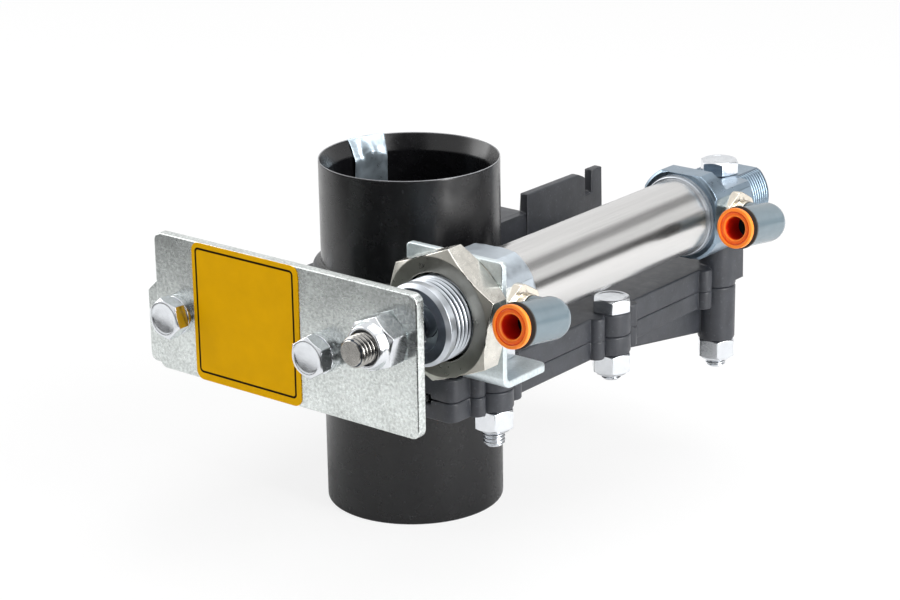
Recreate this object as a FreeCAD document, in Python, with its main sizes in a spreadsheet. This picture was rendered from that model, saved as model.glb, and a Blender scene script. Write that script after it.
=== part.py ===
import FreeCAD, Part
import os
import re

import Sketcher
from FreeCAD import Placement, Rotation, Vector

# Pneumatic shut-off valve for a suction or conveying pipe, in millimetres.
# Z is the pipe's axis, up. The origin is at the centre of the lower spigot's end face.
# The gate slides along -Y to open, and the air cylinder lies beside it at +X.

# Driving sizes: name, value, meaning.
SIZES = [
    ("parting_height", 49.5, "lower spigot's end face up to the joint between the housing halves"),
    ("spigot_radius", 25.0, "pipe spigots, outside"),
    ("spigot_length", 49.5, "joint plane to the end face of each spigot"),
    ("bore_radius", 22.6, "through bore"),
    ("mouth_radius", 24.7, "bore at the spigot's end face, where the wall thins to an edge"),
    ("mouth_depth", 4.4, "depth of the bevel in the spigot's mouth"),
    ("collar_radius", 27.3, "thick foot of each spigot"),
    ("collar_rise", 20.5, "joint plane to the top of the upper spigot's foot"),
    ("collar_drop", 9.0, "joint plane to the underside of the lower spigot's foot"),
    ("collar_rounding", 1.8, "rounded shoulder of the spigot's foot"),
    ("flange_rise", 6.5, "thickness of the upper half's flange"),
    ("flange_drop", 5.5, "thickness of the lower half's flange"),
    ("half_width", 47.6, "pipe axis to the side of the housing"),
    ("front_reach", 41.3, "pipe axis to the front face of the housing"),
    ("rear_reach", 89.5, "pipe axis to the rear face of the housing"),
    ("lobe_radius", 5.4, "lobe round each housing bolt"),
    ("shoulder_radius", 2.4, "small round shoulder beside each lobe"),
    ("shoulder_out", 0.4, "bolt row outwards to the middle of a shoulder"),
    ("shoulder_along", 7.7, "bolt along the side to the middle of a shoulder"),
    ("housing_corner", 3.0, "rounding of the housing's front corners"),
    ("lobe_drop", 16.5, "joint plane to the underside of the rear lower bosses"),
    ("bolt_across", 47.4, "pipe axis to the rows of housing bolts"),
    ("bolt_start", -24.0, "y of the front pair of housing bolts"),
    ("bolt_pitch", 53.2, "from one pair of housing bolts to the next"),
    ("bolt_radius", 3.0, "M6 thread"),
    ("bolt_hole", 3.2, "hole for an M6 bolt"),
    ("hex_across", 10.0, "M6 hexagon, across flats"),
    ("turned_share", 0.48, "circle turned on a hexagon's end, against its width across flats"),
    ("turned_slope", 1.732, "slope of the turned corners"),
    ("dome_share", 0.4, "top of a locking nut's round collar, against the same width"),
    ("head_height", 4.0, "M6 bolt head"),
    ("nut_height", 6.5, "M6 locking nut, all of it"),
    ("nut_hex_height", 5.7, "M6 locking nut, its hexagon"),
    ("plain_nut_height", 5.2, "M6 plain nut"),
    ("short_bolt", 20.0, "housing bolts through the flanges"),
    ("foot_bolt", 24.7, "housing bolt through the bracket's foot"),
    ("boss_bolt", 35.0, "housing bolt through the rear left boss"),
    ("eye_bolt", 59.0, "long bolt through the cylinder's rear eye"),
    ("slot_half_width", 40.0, "gate slot, half its width"),
    ("slot_gap", 1.3, "depth of the gate slot in each half"),
    ("slot_rear", 84.0, "pipe axis to the rear end of the gate slot"),
    ("seal_inner", 23.4, "gate seal, inner radius"),
    ("seal_outer", 25.6, "gate seal, outer radius"),
    ("seal_height", 2.0, "gate seal, height"),
    ("web_thickness", 3.0, "upright web behind the upper spigot"),
    ("web_step", 0.6, "how far the fin stands proud of the low web"),
    ("fin_start", 51.5, "y of the fin's front edge"),
    ("fin_rise", 26.3, "joint plane to the fin's top edge"),
    ("fin_shoulder", 77.0, "y where the fin's top edge starts to fall"),
    ("fin_slot_start", 80.2, "y of the front side of the fin's slot"),
    ("fin_slot_end", 83.4, "y of the rear side of the fin's slot"),
    ("fin_end", 88.8, "y of the fin's rear edge"),
    ("fin_slot_rise", 19.4, "joint plane to the bottom of the fin's slot"),
    ("saddle_rise", 13.4, "joint plane to the top of the boss under the cylinder's rear head"),
    ("saddle_rear", 88.2, "y of the rear side of that boss"),
    ("belly_half_width", 45.0, "deep rear part of the lower half, half its width"),
    ("belly_front", 36.0, "y of its front end"),
    ("belly_rear", 87.0, "y of its rear end"),
    ("belly_front_drop", 8.2, "joint plane to its underside at the front"),
    ("belly_rear_drop", 16.0, "joint plane to its underside at the rear"),
    ("cell_width", 26.4, "pockets moulded in the underside, across"),
    ("cell_length", 21.6, "pockets moulded in the underside, along"),
    ("cell_rib", 3.0, "ribs between the pockets"),
    ("stroke", 50.0, "travel of the gate and of the piston"),
    ("blade_half_width", 39.4, "gate blade, half its width"),
    ("blade_gauge", 2.0, "gate blade, sheet thickness"),
    ("blade_rear", 81.0, "y of the blade's rear edge with the valve shut"),
    ("blade_corner", 5.0, "blade's rear corners and the bevels of its end flange"),
    ("blade_flange_rise", 25.2, "joint plane to the top of the blade's end flange"),
    ("bend_radius", 1.5, "inside radius of a sheet metal bend"),
    ("plate_front", -66.3, "y of the front plate's front face"),
    ("plate_gauge", 3.0, "front plate, thickness"),
    ("plate_left", -33.0, "x of the front plate's left edge"),
    ("plate_width", 90.0, "front plate, width"),
    ("plate_bottom", 0.5, "joint plane to the front plate's lower edge"),
    ("plate_height", 38.0, "front plate, height"),
    ("plate_corner", 2.5, "rounding of the front plate's corners"),
    ("plate_bolt_across", 25.2, "plate bolts, distance from the middle of the gate"),
    ("plate_bolt_rise", 17.0, "joint plane to the plate bolts"),
    ("plate_bolt", 16.0, "length of the plate bolts"),
    ("washer_radius", 5.4, "M6 washer, outside"),
    ("washer_gauge", 1.6, "M6 washer, thickness"),
    ("label_left", -19.0, "x of the label's left edge"),
    ("label_width", 37.2, "label, width"),
    ("label_gauge", 0.3, "label, thickness"),
    ("cylinder_across", 47.4, "pipe axis to the air cylinder's axis"),
    ("cylinder_rise", 25.7, "joint plane up to the air cylinder's axis"),
    ("tube_outer", 10.75, "cylinder tube, outer radius"),
    ("tube_inner", 10.0, "cylinder tube, inner radius"),
    ("tube_start", -20.3, "y of the tube's front end"),
    ("tube_end", 60.3, "y of the tube's rear end"),
    ("rim_radius", 11.8, "turned rims that hold the tube"),
    ("rim_length", 1.7, "length of such a rim"),
    ("head_flats", 12.3, "cylinder axis to a flat of the heads"),
    ("head_corner", 13.9, "turned corners of the heads"),
    ("front_plug", -13.0, "y of the front head's inner face"),
    ("rear_plug", 56.0, "y of the rear head's inner face"),
    ("rear_head_end", 81.0, "y where the rear head's square part ends"),
    ("eye_flat", 7.9, "cylinder axis to the milled flat of the rear eye"),
    ("eye_flat_start", 68.5, "y where that flat starts"),
    ("stub_end", 93.0, "y of the rear thread's end"),
    ("nose_radius", 11.0, "M22 thread at both ends of the cylinder"),
    ("nose_end", -55.5, "y of the front thread's end"),
    ("nose_recess", 7.2, "recess round the rod in the nose, radius"),
    ("nose_recess_depth", 4.0, "depth of that recess"),
    ("thread_chamfer", 1.0, "chamfer on the ends of the M22 threads"),
    ("nose_hex", 32.0, "nose nut, across flats"),
    ("nose_share", 0.499, "circle turned on the nose nut's ends, against that width"),
    ("nose_nut_height", 8.1, "nose nut, thickness"),
    ("port_radius", 4.85, "G1/8 thread"),
    ("port_passage", 1.6, "air passages in the heads, radius"),
    ("port_depth", 6.0, "depth of the G1/8 thread in the heads"),
    ("front_port", -30.2, "y of the front air port"),
    ("rear_port", 71.0, "y of the rear air port"),
    ("bush_outer", 6.0, "rod bush, outer radius"),
    ("bush_length", 14.0, "rod bush, length"),
    ("rod_seal_length", 4.0, "rod seal, length"),
    ("rod_radius", 4.0, "piston rod"),
    ("rod_fit", 0.05, "running clearance of the rod and the piston seals"),
    ("rod_end", -80.2, "y of the rod's threaded end"),
    ("rod_hole", 4.2, "hole for the rod in the front plate"),
    ("rod_hex", 13.0, "M8 hexagon, across flats"),
    ("jam_nut_height", 4.0, "M8 thin nut"),
    ("lock_nut_height", 9.2, "M8 locking nut, all of it"),
    ("lock_hex_height", 6.5, "M8 locking nut, its hexagon"),
    ("piston_length", 16.0, "piston, length"),
    ("piston_radius", 9.6, "piston"),
    ("piston_neck", 4.0, "rod's fixing in the piston, radius"),
    ("piston_gap", 0.5, "between the piston and the rear head with the valve shut"),
    ("lip_length", 3.0, "piston seal, length"),
    ("lip_core", 7.0, "piston seal, inner radius"),
    ("lip_margin", 2.0, "end of the piston to its seal"),
    ("bracket_front", -38.9, "y of the bracket's front face"),
    ("bracket_gauge", 2.0, "bracket, sheet thickness"),
    ("bracket_left", 31.1, "x of the bracket's left edge"),
    ("bracket_width", 31.1, "bracket, width"),
    ("bracket_height", 34.2, "bracket, height over its foot's underside"),
    ("bracket_foot", 19.5, "bracket, length of its foot"),
    ("bracket_corner", 1.2, "rounding of the bracket's upper corners"),
    ("foot_corner", 3.0, "rounding of its foot's corners"),
    ("nose_hole", 11.3, "bracket's hole for the nose, radius"),
    ("elbow_across", 23.6, "cylinder axis to the axis of an elbow's barrel"),
    ("elbow_tilt", 8.0, "how far the barrels point upwards, in degrees"),
    ("elbow_hex", 13.0, "elbow's hexagon, across flats"),
    ("elbow_hex_corner", 7.1, "turned corners of that hexagon, radius"),
    ("elbow_hex_height", 2.6, "elbow's hexagon, thickness"),
    ("neck_radius", 4.8, "round neck between the hexagon and the barrel's foot"),
    ("neck_length", 2.1, "length of that neck"),
    ("spindle_radius", 3.2, "elbow's hollow spindle"),
    ("spindle_passage", 1.6, "passage through the spindle, radius"),
    ("spindle_reach", 2.0, "barrel axis to the spindle's end"),
    ("swivel_gap", 0.3, "between the neck and the barrel's foot"),
    ("port_end_gap", 0.5, "between the stem's end and the bottom of its port"),
    ("foot_radius", 4.6, "foot of the barrel"),
    ("foot_end", 1.5, "barrel axis to the end of the foot"),
    ("barrel_radius", 5.6, "elbow's barrel"),
    ("barrel_front", 14.1, "port axis to the barrel's front end"),
    ("barrel_tail", 4.2, "port axis to the barrel's rounded end"),
    ("barrel_rounding", 5.0, "rounding of that end"),
    ("throat_radius", 2.2, "narrow bore behind the tube, radius"),
    ("throat_end", 1.5, "port axis to the end of that bore"),
    ("barrel_socket", 4.5, "barrel's socket for the collar, radius"),
    ("barrel_step", 6.0, "port axis to the bottom of the socket"),
    ("tube_radius", 3.0, "air tube, outside"),
    ("grip_ring_radius", 6.0, "dark ring on the barrel"),
    ("grip_ring_length", 0.6, "dark ring on the barrel, length"),
    ("collar_flange", 5.65, "release collar's rim, radius"),
    ("collar_gauge", 1.4, "release collar's rim, thickness"),
    ("collar_front", 17.2, "port axis to the release collar's front face"),
    ("sleeve_outer", 4.42, "release collar's sleeve, outer radius"),
    ("sleeve_inner", 3.1, "release collar's sleeve, inner radius"),
    ("sleeve_end", 9.9, "port axis to the inner end of the sleeve"),
    ("tube_seal_length", 1.8, "seal at the bottom of the socket"),
    ("strip_gauge", 0.2, "earthing strip, thickness"),
    ("strip_angle", 28.0, "angle that the strip takes up round the rim"),
    ("strip_start", 146.0, "angle where the strip starts, from +X"),
    ("strip_outside", 7.0, "length of the strip down the outside"),
    ("strip_inside", 30.0, "length of the strip down the bore"),
]

# Places that follow from the driving sizes.
AXIS_HEIGHT = "parting_height + cylinder_rise"
PLATE_BACK = "plate_front + plate_gauge"
PISTON_REAR = "rear_plug - piston_gap"
BARREL = "cylinder_across + elbow_across"
BOLT_ROWS = ["bolt_start", "bolt_start + bolt_pitch", "bolt_start + 2 * bolt_pitch"]

# How far each screw and nut happens to be turned now that it is tight, in degrees.
HOUSING_BOLT_TURNS = ["17", "34", "51", "8", "25"]
HOUSING_NUT_TURNS = ["51", "49", "53", "50", "48", "52"]
EYE_BOLT_TURN = "12"
PLATE_BOLT_TURNS = ["44", "32"]
JAM_NUT_TURN = "8"
LOCK_NUT_TURN = "21"
NOSE_NUT_TURN = "21"

# Turns that lay a piece made along Z along another axis.
ALONG = {
    "+Z": Rotation(),
    "-Z": Rotation(Vector(1, 0, 0), 180),
    "+Y": Rotation(Vector(1, 0, 0), -90),
    "-Y": Rotation(Vector(1, 0, 0), 90),
    "+X": Rotation(Vector(0, 1, 0), 90),
}

doc = FreeCAD.newDocument("shut_off_valve")
sheet = doc.addObject("Spreadsheet::Sheet", "Sizes")
for row, (name, value, meaning) in enumerate(SIZES, start=1):
    sheet.set("A%d" % row, meaning)
    sheet.set("B%d" % row, str(value))
    sheet.setAlias("B%d" % row, name)
doc.recompute()

NAMES = {name for name, value, meaning in SIZES}
WORD = re.compile(r"[a-z][a-z_]*")
nodes = []


def sized(text):
    """The expression, with each size's name pointing at the sheet."""
    return WORD.sub(lambda word: "Sizes." + word[0] if word[0] in NAMES else word[0], text)


def measure(text):
    """The value of an expression, in millimetres or degrees."""
    return float(sheet.evalExpression(sized(text)))


def bind(item, **expressions):
    """Ties properties of an object to the sheet."""
    for path, text in expressions.items():
        item.setExpression(path, sized(text))
    return item


def place(item, x="0", y="0", z="0", along="+Z", turn="0", tilt="0"):
    """Sets an object down at a point, turned about its own Z, laid along an axis, then tilted about X."""
    spin = Rotation(Vector(0, 0, 1), measure(turn))
    item.Placement = Placement(Vector(), Rotation(Vector(1, 0, 0), measure(tilt)) * ALONG[along] * spin)
    for key, text in zip("xyz", (x, y, z)):
        item.setExpression("Placement.Base." + key, sized(text))
    return item


def add(kind, name):
    """A new object of the document."""
    item = doc.addObject(kind, name)
    item.Label = name
    return item


def node(item, label):
    """Names an object as one sub-part of the valve."""
    item.Label = label
    nodes.append(item)
    return item


# Part primitives and booleans

def rod(name, radius, length):
    return bind(add("Part::Cylinder", name), Radius=radius, Height=length)


def cut(name, base, tool):
    item = add("Part::Cut", name)
    item.Base = base
    item.Tool = tool
    return item


def union(name, *pieces):
    item = add("Part::MultiFuse", name)
    item.Shapes = list(pieces)
    return item


def group(label, pieces):
    """Like pieces that share one node, each still a solid of its own."""
    item = add("Part::Compound", label)
    item.Links = pieces
    return node(item, label)


def hexagon(name, across, height, ends, share="turned_share"):
    """A hexagon whose corners are turned off at the top, and at the bottom too for two ends."""
    prism = bind(add("Part::Prism", name + "_prism"),
                 Circumradius="(%s) / (2 * cos(30 deg))" % across, Height=height)
    narrow = "%s * %s" % (across, share)
    wide = "%s + %s * turned_slope" % (narrow, height)
    pieces = [prism, bind(add("Part::Cone", name + "_cone"), Height=height, Radius1=wide, Radius2=narrow)]
    if ends == 2:
        pieces.append(bind(add("Part::Cone", name + "_low_cone"), Height=height,
                           Radius1=narrow, Radius2=wide))
    item = add("Part::MultiCommon", name + "_hexagon")
    item.Shapes = pieces
    return item


def bolt(name, length):
    """An M6 bolt along Z: its head stands on the XY plane, its shank hangs under it."""
    head = hexagon(name, "hex_across", "head_height", 1)
    shank = rod(name + "_shank", "bolt_radius", length)
    place(shank, z="-(%s)" % length)
    return union(name, head, shank)


def nut(name, across, height, thread, share="turned_share"):
    """A plain nut that stands on the XY plane."""
    return cut(name, hexagon(name, across, height, 2, share), rod(name + "_thread", thread, height))


def locking_nut(name, across, height, hex_height, thread):
    """A nut with a round collar on top, which holds its nylon ring."""
    body = union(name + "_body",
                 hexagon(name, across, hex_height, 2),
                 bind(add("Part::Cone", name + "_collar"), Height=height,
                      Radius1=across + " * turned_share", Radius2=across + " * dome_share"))
    return cut(name, body, rod(name + "_thread", thread, height))


def ring(name, inner, outer, height):
    return cut(name, rod(name + "_outer", outer, height), rod(name + "_inner", inner, height))


# PartDesign bodies

def new_body(label):
    body = doc.addObject("PartDesign::Body", label)
    return node(body, label)


def new_sketch(body, name, role, offset="0"):
    """A sketch on one of the body's own origin planes, or parallel to it."""
    sketch = body.newObject("Sketcher::SketchObject", body.Name + "_" + name)
    base = next(item for item in body.Origin.OriginFeatures if item.Role == role)
    sketch.AttachmentSupport = [(base, "")]
    sketch.MapMode = "FlatFace"
    sketch.setExpression("AttachmentOffset.Base.z", sized(offset))
    return sketch


def constrain(sketch, kind, texts, *where):
    """Adds a constraint whose value is an expression."""
    index = sketch.addConstraint(Sketcher.Constraint(kind, *where, measure(texts)))
    sketch.setExpression("Constraints[%d]" % index, sized(texts))


def outline(sketch, corners):
    """A closed outline through corners that are given as pairs of expressions."""
    points = [Vector(measure(across), measure(up), 0) for across, up in corners]
    first = sketch.GeometryCount
    count = len(points)
    for index in range(count):
        sketch.addGeometry(Part.LineSegment(points[index], points[(index + 1) % count]), False)
    for index in range(count):
        following = first + (index + 1) % count
        sketch.addConstraint(Sketcher.Constraint("Coincident", first + index, 2, following, 1))
    for index, (across, up) in enumerate(corners):
        constrain(sketch, "DistanceX", across, first + index, 1)
        constrain(sketch, "DistanceY", up, first + index, 1)
    return sketch


def rectangle(sketch, left, low, right, top):
    return outline(sketch, [(left, low), (right, low), (right, top), (left, top)])


def circle(sketch, across, up, radius):
    centre = Vector(measure(across), measure(up), 0)
    index = sketch.addGeometry(Part.Circle(centre, Vector(0, 0, 1), measure(radius)), False)
    constrain(sketch, "DistanceX", across, index, 3)
    constrain(sketch, "DistanceY", up, index, 3)
    constrain(sketch, "Radius", radius, index)
    return sketch


def pad(body, sketch, length, reverse=False):
    item = body.newObject("PartDesign::Pad", sketch.Name + "_pad")
    item.Profile = sketch
    item.Reversed = reverse
    return bind(item, Length=length)


def pocket(body, sketch, length=None, reverse=False):
    """Cuts against the sketch's normal, or along it in reverse; right through with no length."""
    before = solid_volume(body)
    item = body.newObject("PartDesign::Pocket", sketch.Name + "_pocket")
    item.Profile = sketch
    item.Reversed = reverse
    if length is None:
        item.Type = "ThroughAll"
    else:
        bind(item, Length=length)
    if solid_volume(body) >= before:
        raise RuntimeError(item.Name + " cuts nothing")
    return item


def turned(body, sketch, axis="V_Axis", angle="360"):
    item = body.newObject("PartDesign::Revolution", sketch.Name + "_turned")
    item.Profile = sketch
    item.ReferenceAxis = (sketch, [axis])
    return bind(item, Angle=angle)


def groove(body, sketch, axis="V_Axis"):
    before = solid_volume(body)
    item = body.newObject("PartDesign::Groove", sketch.Name + "_groove")
    item.Profile = sketch
    item.ReferenceAxis = (sketch, [axis])
    item.Angle = 360
    if solid_volume(body) >= before:
        raise RuntimeError(item.Name + " cuts nothing")
    return item


def solid_volume(body):
    doc.recompute()
    return body.Shape.Volume


def round_edges(body, name, radius, wanted, kind="PartDesign::Fillet"):
    """Rounds or bevels the edges of a body that a test picks by their middle and direction."""
    doc.recompute()
    picked = []
    for number, edge in enumerate(body.Tip.Shape.Edges, start=1):
        first, last = edge.ParameterRange
        middle = edge.valueAt((first + last) / 2)
        if wanted(edge, middle):
            picked.append("Edge%d" % number)
    if not picked:
        raise RuntimeError(body.Label + " has no edge for " + name)
    base = body.Tip
    item = body.newObject(kind, body.Name + "_" + name)
    item.Base = (base, picked)
    bind(item, **{"Radius" if kind == "PartDesign::Fillet" else "Size": radius})
    return item


def is_line(edge, direction):
    """Whether an edge is straight and runs along a direction."""
    if edge.Curve.TypeId != "Part::GeomLine":
        return False
    return abs(abs(edge.Curve.Direction.dot(direction)) - 1) < 1e-6


def near(value, text, slack=0.01):
    return abs(value - measure(text)) < slack


X_AXIS, Y_AXIS, Z_AXIS = Vector(1, 0, 0), Vector(0, 1, 0), Vector(0, 0, 1)


# Housing

def bolt_places():
    """The six housing bolts, from the front left to the rear right."""
    return [(side + "bolt_across", row) for row in BOLT_ROWS for side in ("-", "")]


def housing_flange(body, name, thickness, reverse):
    """The flange of one half, with a lobe round each bolt."""
    plan = new_sketch(body, name, "XY_Plane", "parting_height")
    rectangle(plan, "-half_width", "-front_reach", "half_width", "rear_reach")
    pad(body, plan, thickness, reverse)
    lobes = new_sketch(body, name + "_lobes", "XY_Plane", "parting_height")
    for across, along in bolt_places():
        circle(lobes, across, along, "lobe_radius")
    pad(body, lobes, thickness, reverse)
    for step in ("-", "+"):
        shoulders = new_sketch(body, name + ("_front" if step == "-" else "_rear") + "_shoulders",
                               "XY_Plane", "parting_height")
        for side in ("-", ""):
            for row in BOLT_ROWS if step == "-" else BOLT_ROWS[:2]:
                circle(shoulders, "%s(bolt_across + shoulder_out)" % side,
                       "%s %s shoulder_along" % (row, step), "shoulder_radius")
        pad(body, shoulders, thickness, reverse)
    round_edges(body, name + "_corners", "housing_corner",
                lambda edge, middle: is_line(edge, Z_AXIS) and near(abs(middle.x), "half_width")
                and near(middle.y, "-front_reach"))


def bolt_holes(body, offset, reverse):
    holes = new_sketch(body, "bolt_holes", "XY_Plane", offset)
    for across, along in bolt_places():
        circle(holes, across, along, "bolt_hole")
    pocket(body, holes, reverse=reverse)


def make_upper_housing():
    body = new_body("upper_housing")
    housing_flange(body, "flange", "flange_rise", False)

    spigot = new_sketch(body, "spigot", "XZ_Plane")
    top = "parting_height + spigot_length"
    outline(spigot, [("0", "parting_height"), ("collar_radius", "parting_height"),
                     ("collar_radius", "parting_height + collar_rise"),
                     ("spigot_radius", "parting_height + collar_rise"),
                     ("spigot_radius", top), ("0", top)])
    turned(body, spigot)
    round_edges(body, "collar_shoulder", "collar_rounding",
                lambda edge, middle: near(middle.z, "parting_height + collar_rise")
                and near(middle.x ** 2 + middle.y ** 2, "collar_radius ^ 2", 0.5))

    low_web = new_sketch(body, "low_web", "YZ_Plane", "-web_thickness / 2")
    rectangle(low_web, "bore_radius", "parting_height", "fin_start + web_thickness",
              "parting_height + collar_rise")
    pad(body, low_web, "web_thickness - web_step")

    fin = new_sketch(body, "fin", "YZ_Plane", "-web_thickness / 2")
    fin_top = "parting_height + fin_rise"
    slot_floor = "parting_height + fin_slot_rise"
    outline(fin, [("fin_start", "parting_height"), ("fin_end", "parting_height"),
                  ("fin_end", fin_top), ("fin_slot_end", fin_top),
                  ("fin_slot_end", slot_floor), ("fin_slot_start", slot_floor),
                  ("fin_slot_start", fin_top + " - bend_radius"), ("fin_shoulder", fin_top),
                  ("fin_start", fin_top)])
    pad(body, fin, "web_thickness")

    saddle = new_sketch(body, "saddle", "XY_Plane", "parting_height")
    circle(saddle, "bolt_across", BOLT_ROWS[2], "lobe_radius")
    pad(body, saddle, "saddle_rise")
    saddle_back = new_sketch(body, "saddle_back", "XY_Plane", "parting_height + bend_radius")
    rectangle(saddle_back, "bolt_across - lobe_radius", BOLT_ROWS[2],
              "bolt_across + lobe_radius", "saddle_rear")
    pad(body, saddle_back, "saddle_rise - bend_radius")

    bore = new_sketch(body, "bore", "XZ_Plane")
    outline(bore, [("0", "parting_height - 1"), ("bore_radius", "parting_height - 1"),
                   ("bore_radius", top + " - mouth_depth"), ("mouth_radius", top),
                   ("mouth_radius", top + " + 1"), ("0", top + " + 1")])
    groove(body, bore)

    gate_slot(body, reverse=True)
    seal_seat = new_sketch(body, "seal_seat", "XZ_Plane")
    rectangle(seal_seat, "seal_inner", "parting_height", "seal_outer",
              "parting_height + slot_gap + seal_height")
    groove(body, seal_seat)
    bolt_holes(body, "parting_height", reverse=True)


def gate_slot(body, reverse):
    """Half of the slot that the blade runs in, open at the front."""
    slot = new_sketch(body, "gate_slot", "XY_Plane", "parting_height")
    rectangle(slot, "-slot_half_width", "-front_reach - 1", "slot_half_width", "slot_rear")
    pocket(body, slot, "slot_gap", reverse)


def make_lower_housing():
    body = new_body("lower_housing")
    housing_flange(body, "flange", "flange_drop", True)

    belly = new_sketch(body, "belly", "YZ_Plane", "-belly_half_width")
    outline(belly, [("belly_front", "parting_height"), ("belly_rear", "parting_height"),
                    ("belly_rear", "parting_height - belly_rear_drop"),
                    ("belly_front", "parting_height - belly_front_drop")])
    pad(body, belly, "2 * belly_half_width")

    cells = new_sketch(body, "cells", "XY_Plane", "parting_height - flange_drop")
    middle = "(belly_front + belly_rear) / 2"
    for column in (-1, 0, 1):
        left = "%d * (cell_width + cell_rib) - cell_width / 2" % column
        for low in (middle + " - cell_rib / 2 - cell_length", middle + " + cell_rib / 2"):
            rectangle(cells, left, low, left + " + cell_width", low + " + cell_length")
    pocket(body, cells)

    bosses = new_sketch(body, "bosses", "XY_Plane", "parting_height")
    for side in ("-", ""):
        circle(bosses, side + "bolt_across", BOLT_ROWS[2], "lobe_radius")
    pad(body, bosses, "lobe_drop", reverse=True)

    spigot = new_sketch(body, "spigot", "XZ_Plane")
    outline(spigot, [("0", "0"), ("spigot_radius", "0"),
                     ("spigot_radius", "parting_height - collar_drop"),
                     ("collar_radius", "parting_height - collar_drop"),
                     ("collar_radius", "parting_height"), ("0", "parting_height")])
    turned(body, spigot)
    round_edges(body, "collar_shoulder", "collar_rounding",
                lambda edge, middle: near(middle.z, "parting_height - collar_drop")
                and near(middle.x ** 2 + middle.y ** 2, "collar_radius ^ 2", 0.5))

    bore = new_sketch(body, "bore", "XZ_Plane")
    outline(bore, [("0", "-1"), ("mouth_radius", "-1"), ("mouth_radius", "0"),
                   ("bore_radius", "mouth_depth"), ("bore_radius", "parting_height + 1"),
                   ("0", "parting_height + 1")])
    groove(body, bore)

    gate_slot(body, reverse=False)
    seal_seat = new_sketch(body, "seal_seat", "XZ_Plane")
    rectangle(seal_seat, "seal_inner", "parting_height - slot_gap - seal_height",
              "seal_outer", "parting_height")
    groove(body, seal_seat)
    bolt_holes(body, "parting_height", reverse=False)


def make_gate_seals():
    """The rings that wipe the blade from above and below."""
    for label, height in (("upper_gate_seal", "parting_height + slot_gap"),
                          ("lower_gate_seal", "parting_height - slot_gap - seal_height")):
        node(place(ring(label, "seal_inner", "seal_outer", "seal_height"), z=height), label)


def make_housing_fasteners():
    flange_top = "parting_height + flange_rise"
    seats = [(flange_top, "short_bolt"), (flange_top + " + bracket_gauge", "foot_bolt"),
             (flange_top, "short_bolt"), (flange_top, "short_bolt"), (flange_top, "boss_bolt")]
    bolts = []
    for (across, along), (seat, length), turn in zip(bolt_places(), seats, HOUSING_BOLT_TURNS):
        item = bolt("housing_bolt_%d" % (len(bolts) + 1), length)
        bolts.append(place(item, across, along, seat, turn=turn))
    group("housing_bolts", bolts)

    across, along = bolt_places()[-1]
    long_bolt = bolt("eye_bolt", "eye_bolt")
    place(long_bolt, across, along, AXIS_HEIGHT + " + eye_flat", turn=EYE_BOLT_TURN)
    node(long_bolt, "cylinder_bolt")

    drops = ["flange_drop"] * 4 + ["lobe_drop"] * 2
    nuts = []
    for (across, along), drop, turn in zip(bolt_places(), drops, HOUSING_NUT_TURNS):
        item = locking_nut("housing_nut_%d" % (len(nuts) + 1), "hex_across", "nut_height",
                           "nut_hex_height", "bolt_radius")
        nuts.append(place(item, across, along, "parting_height - " + drop, "-Z", turn))
    group("housing_nuts", nuts)


# Gate

def make_gate_blade():
    """The sheet that shuts the pipe, with a round window behind its solid front part."""
    body = new_body("gate_blade")
    front = PLATE_BACK
    low = "parting_height - blade_gauge / 2"
    top = "parting_height + blade_gauge / 2"
    side = new_sketch(body, "side", "YZ_Plane", "-blade_half_width")
    outline(side, [(front, low), ("blade_rear", low), ("blade_rear", top),
                   (front + " + blade_gauge", top),
                   (front + " + blade_gauge", "parting_height + blade_flange_rise"),
                   (front, "parting_height + blade_flange_rise")])
    pad(body, side, "2 * blade_half_width")
    round_edges(body, "outer_bend", "bend_radius + blade_gauge",
                lambda edge, middle: is_line(edge, X_AXIS) and near(middle.y, front) and near(middle.z, low))
    round_edges(body, "inner_bend", "bend_radius",
                lambda edge, middle: is_line(edge, X_AXIS) and near(middle.z, top)
                and near(middle.y, front + " + blade_gauge"))
    window = new_sketch(body, "window", "XY_Plane", "parting_height + blade_gauge")
    circle(window, "0", "stroke", "bore_radius")
    pocket(body, window, "2 * blade_gauge")
    bolts = new_sketch(body, "bolts", "XZ_Plane", "-(%s) - 2 * blade_gauge" % front)
    for side_sign in ("-", ""):
        circle(bolts, side_sign + "plate_bolt_across", "parting_height + plate_bolt_rise", "bolt_hole")
    pocket(body, bolts, "3 * blade_gauge", reverse=True)
    round_edges(body, "bevels", "blade_corner",
                lambda edge, middle: is_line(edge, Y_AXIS) and near(abs(middle.x), "blade_half_width")
                and near(middle.z, "parting_height + blade_flange_rise"), "PartDesign::Chamfer")
    round_edges(body, "rear_corners", "blade_corner",
                lambda edge, middle: is_line(edge, Z_AXIS) and near(middle.y, "blade_rear"))


def make_front_plate():
    body = new_body("front_plate")
    face = new_sketch(body, "face", "XZ_Plane", "-(%s)" % PLATE_BACK)
    low = "parting_height + plate_bottom"
    rectangle(face, "plate_left", low, "plate_left + plate_width", low + " + plate_height")
    pad(body, face, "plate_gauge")
    round_edges(body, "corners", "plate_corner", lambda edge, middle: is_line(edge, Y_AXIS))
    holes = new_sketch(body, "holes", "XZ_Plane", "-(%s) - 1" % PLATE_BACK)
    for side in ("-", ""):
        circle(holes, side + "plate_bolt_across", "parting_height + plate_bolt_rise", "bolt_hole")
    circle(holes, "cylinder_across", AXIS_HEIGHT, "rod_hole")
    pocket(body, holes, "plate_gauge + 2", reverse=True)


def make_front_label():
    """The yellow label that covers the plate from edge to edge."""
    body = new_body("front_label")
    face = new_sketch(body, "face", "XZ_Plane", "-plate_front")
    low = "parting_height + plate_bottom"
    rectangle(face, "label_left", low, "label_left + label_width", low + " + plate_height")
    pad(body, face, "label_gauge")
    round_edges(body, "corners", "plate_corner", lambda edge, middle: is_line(edge, Y_AXIS))


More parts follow.
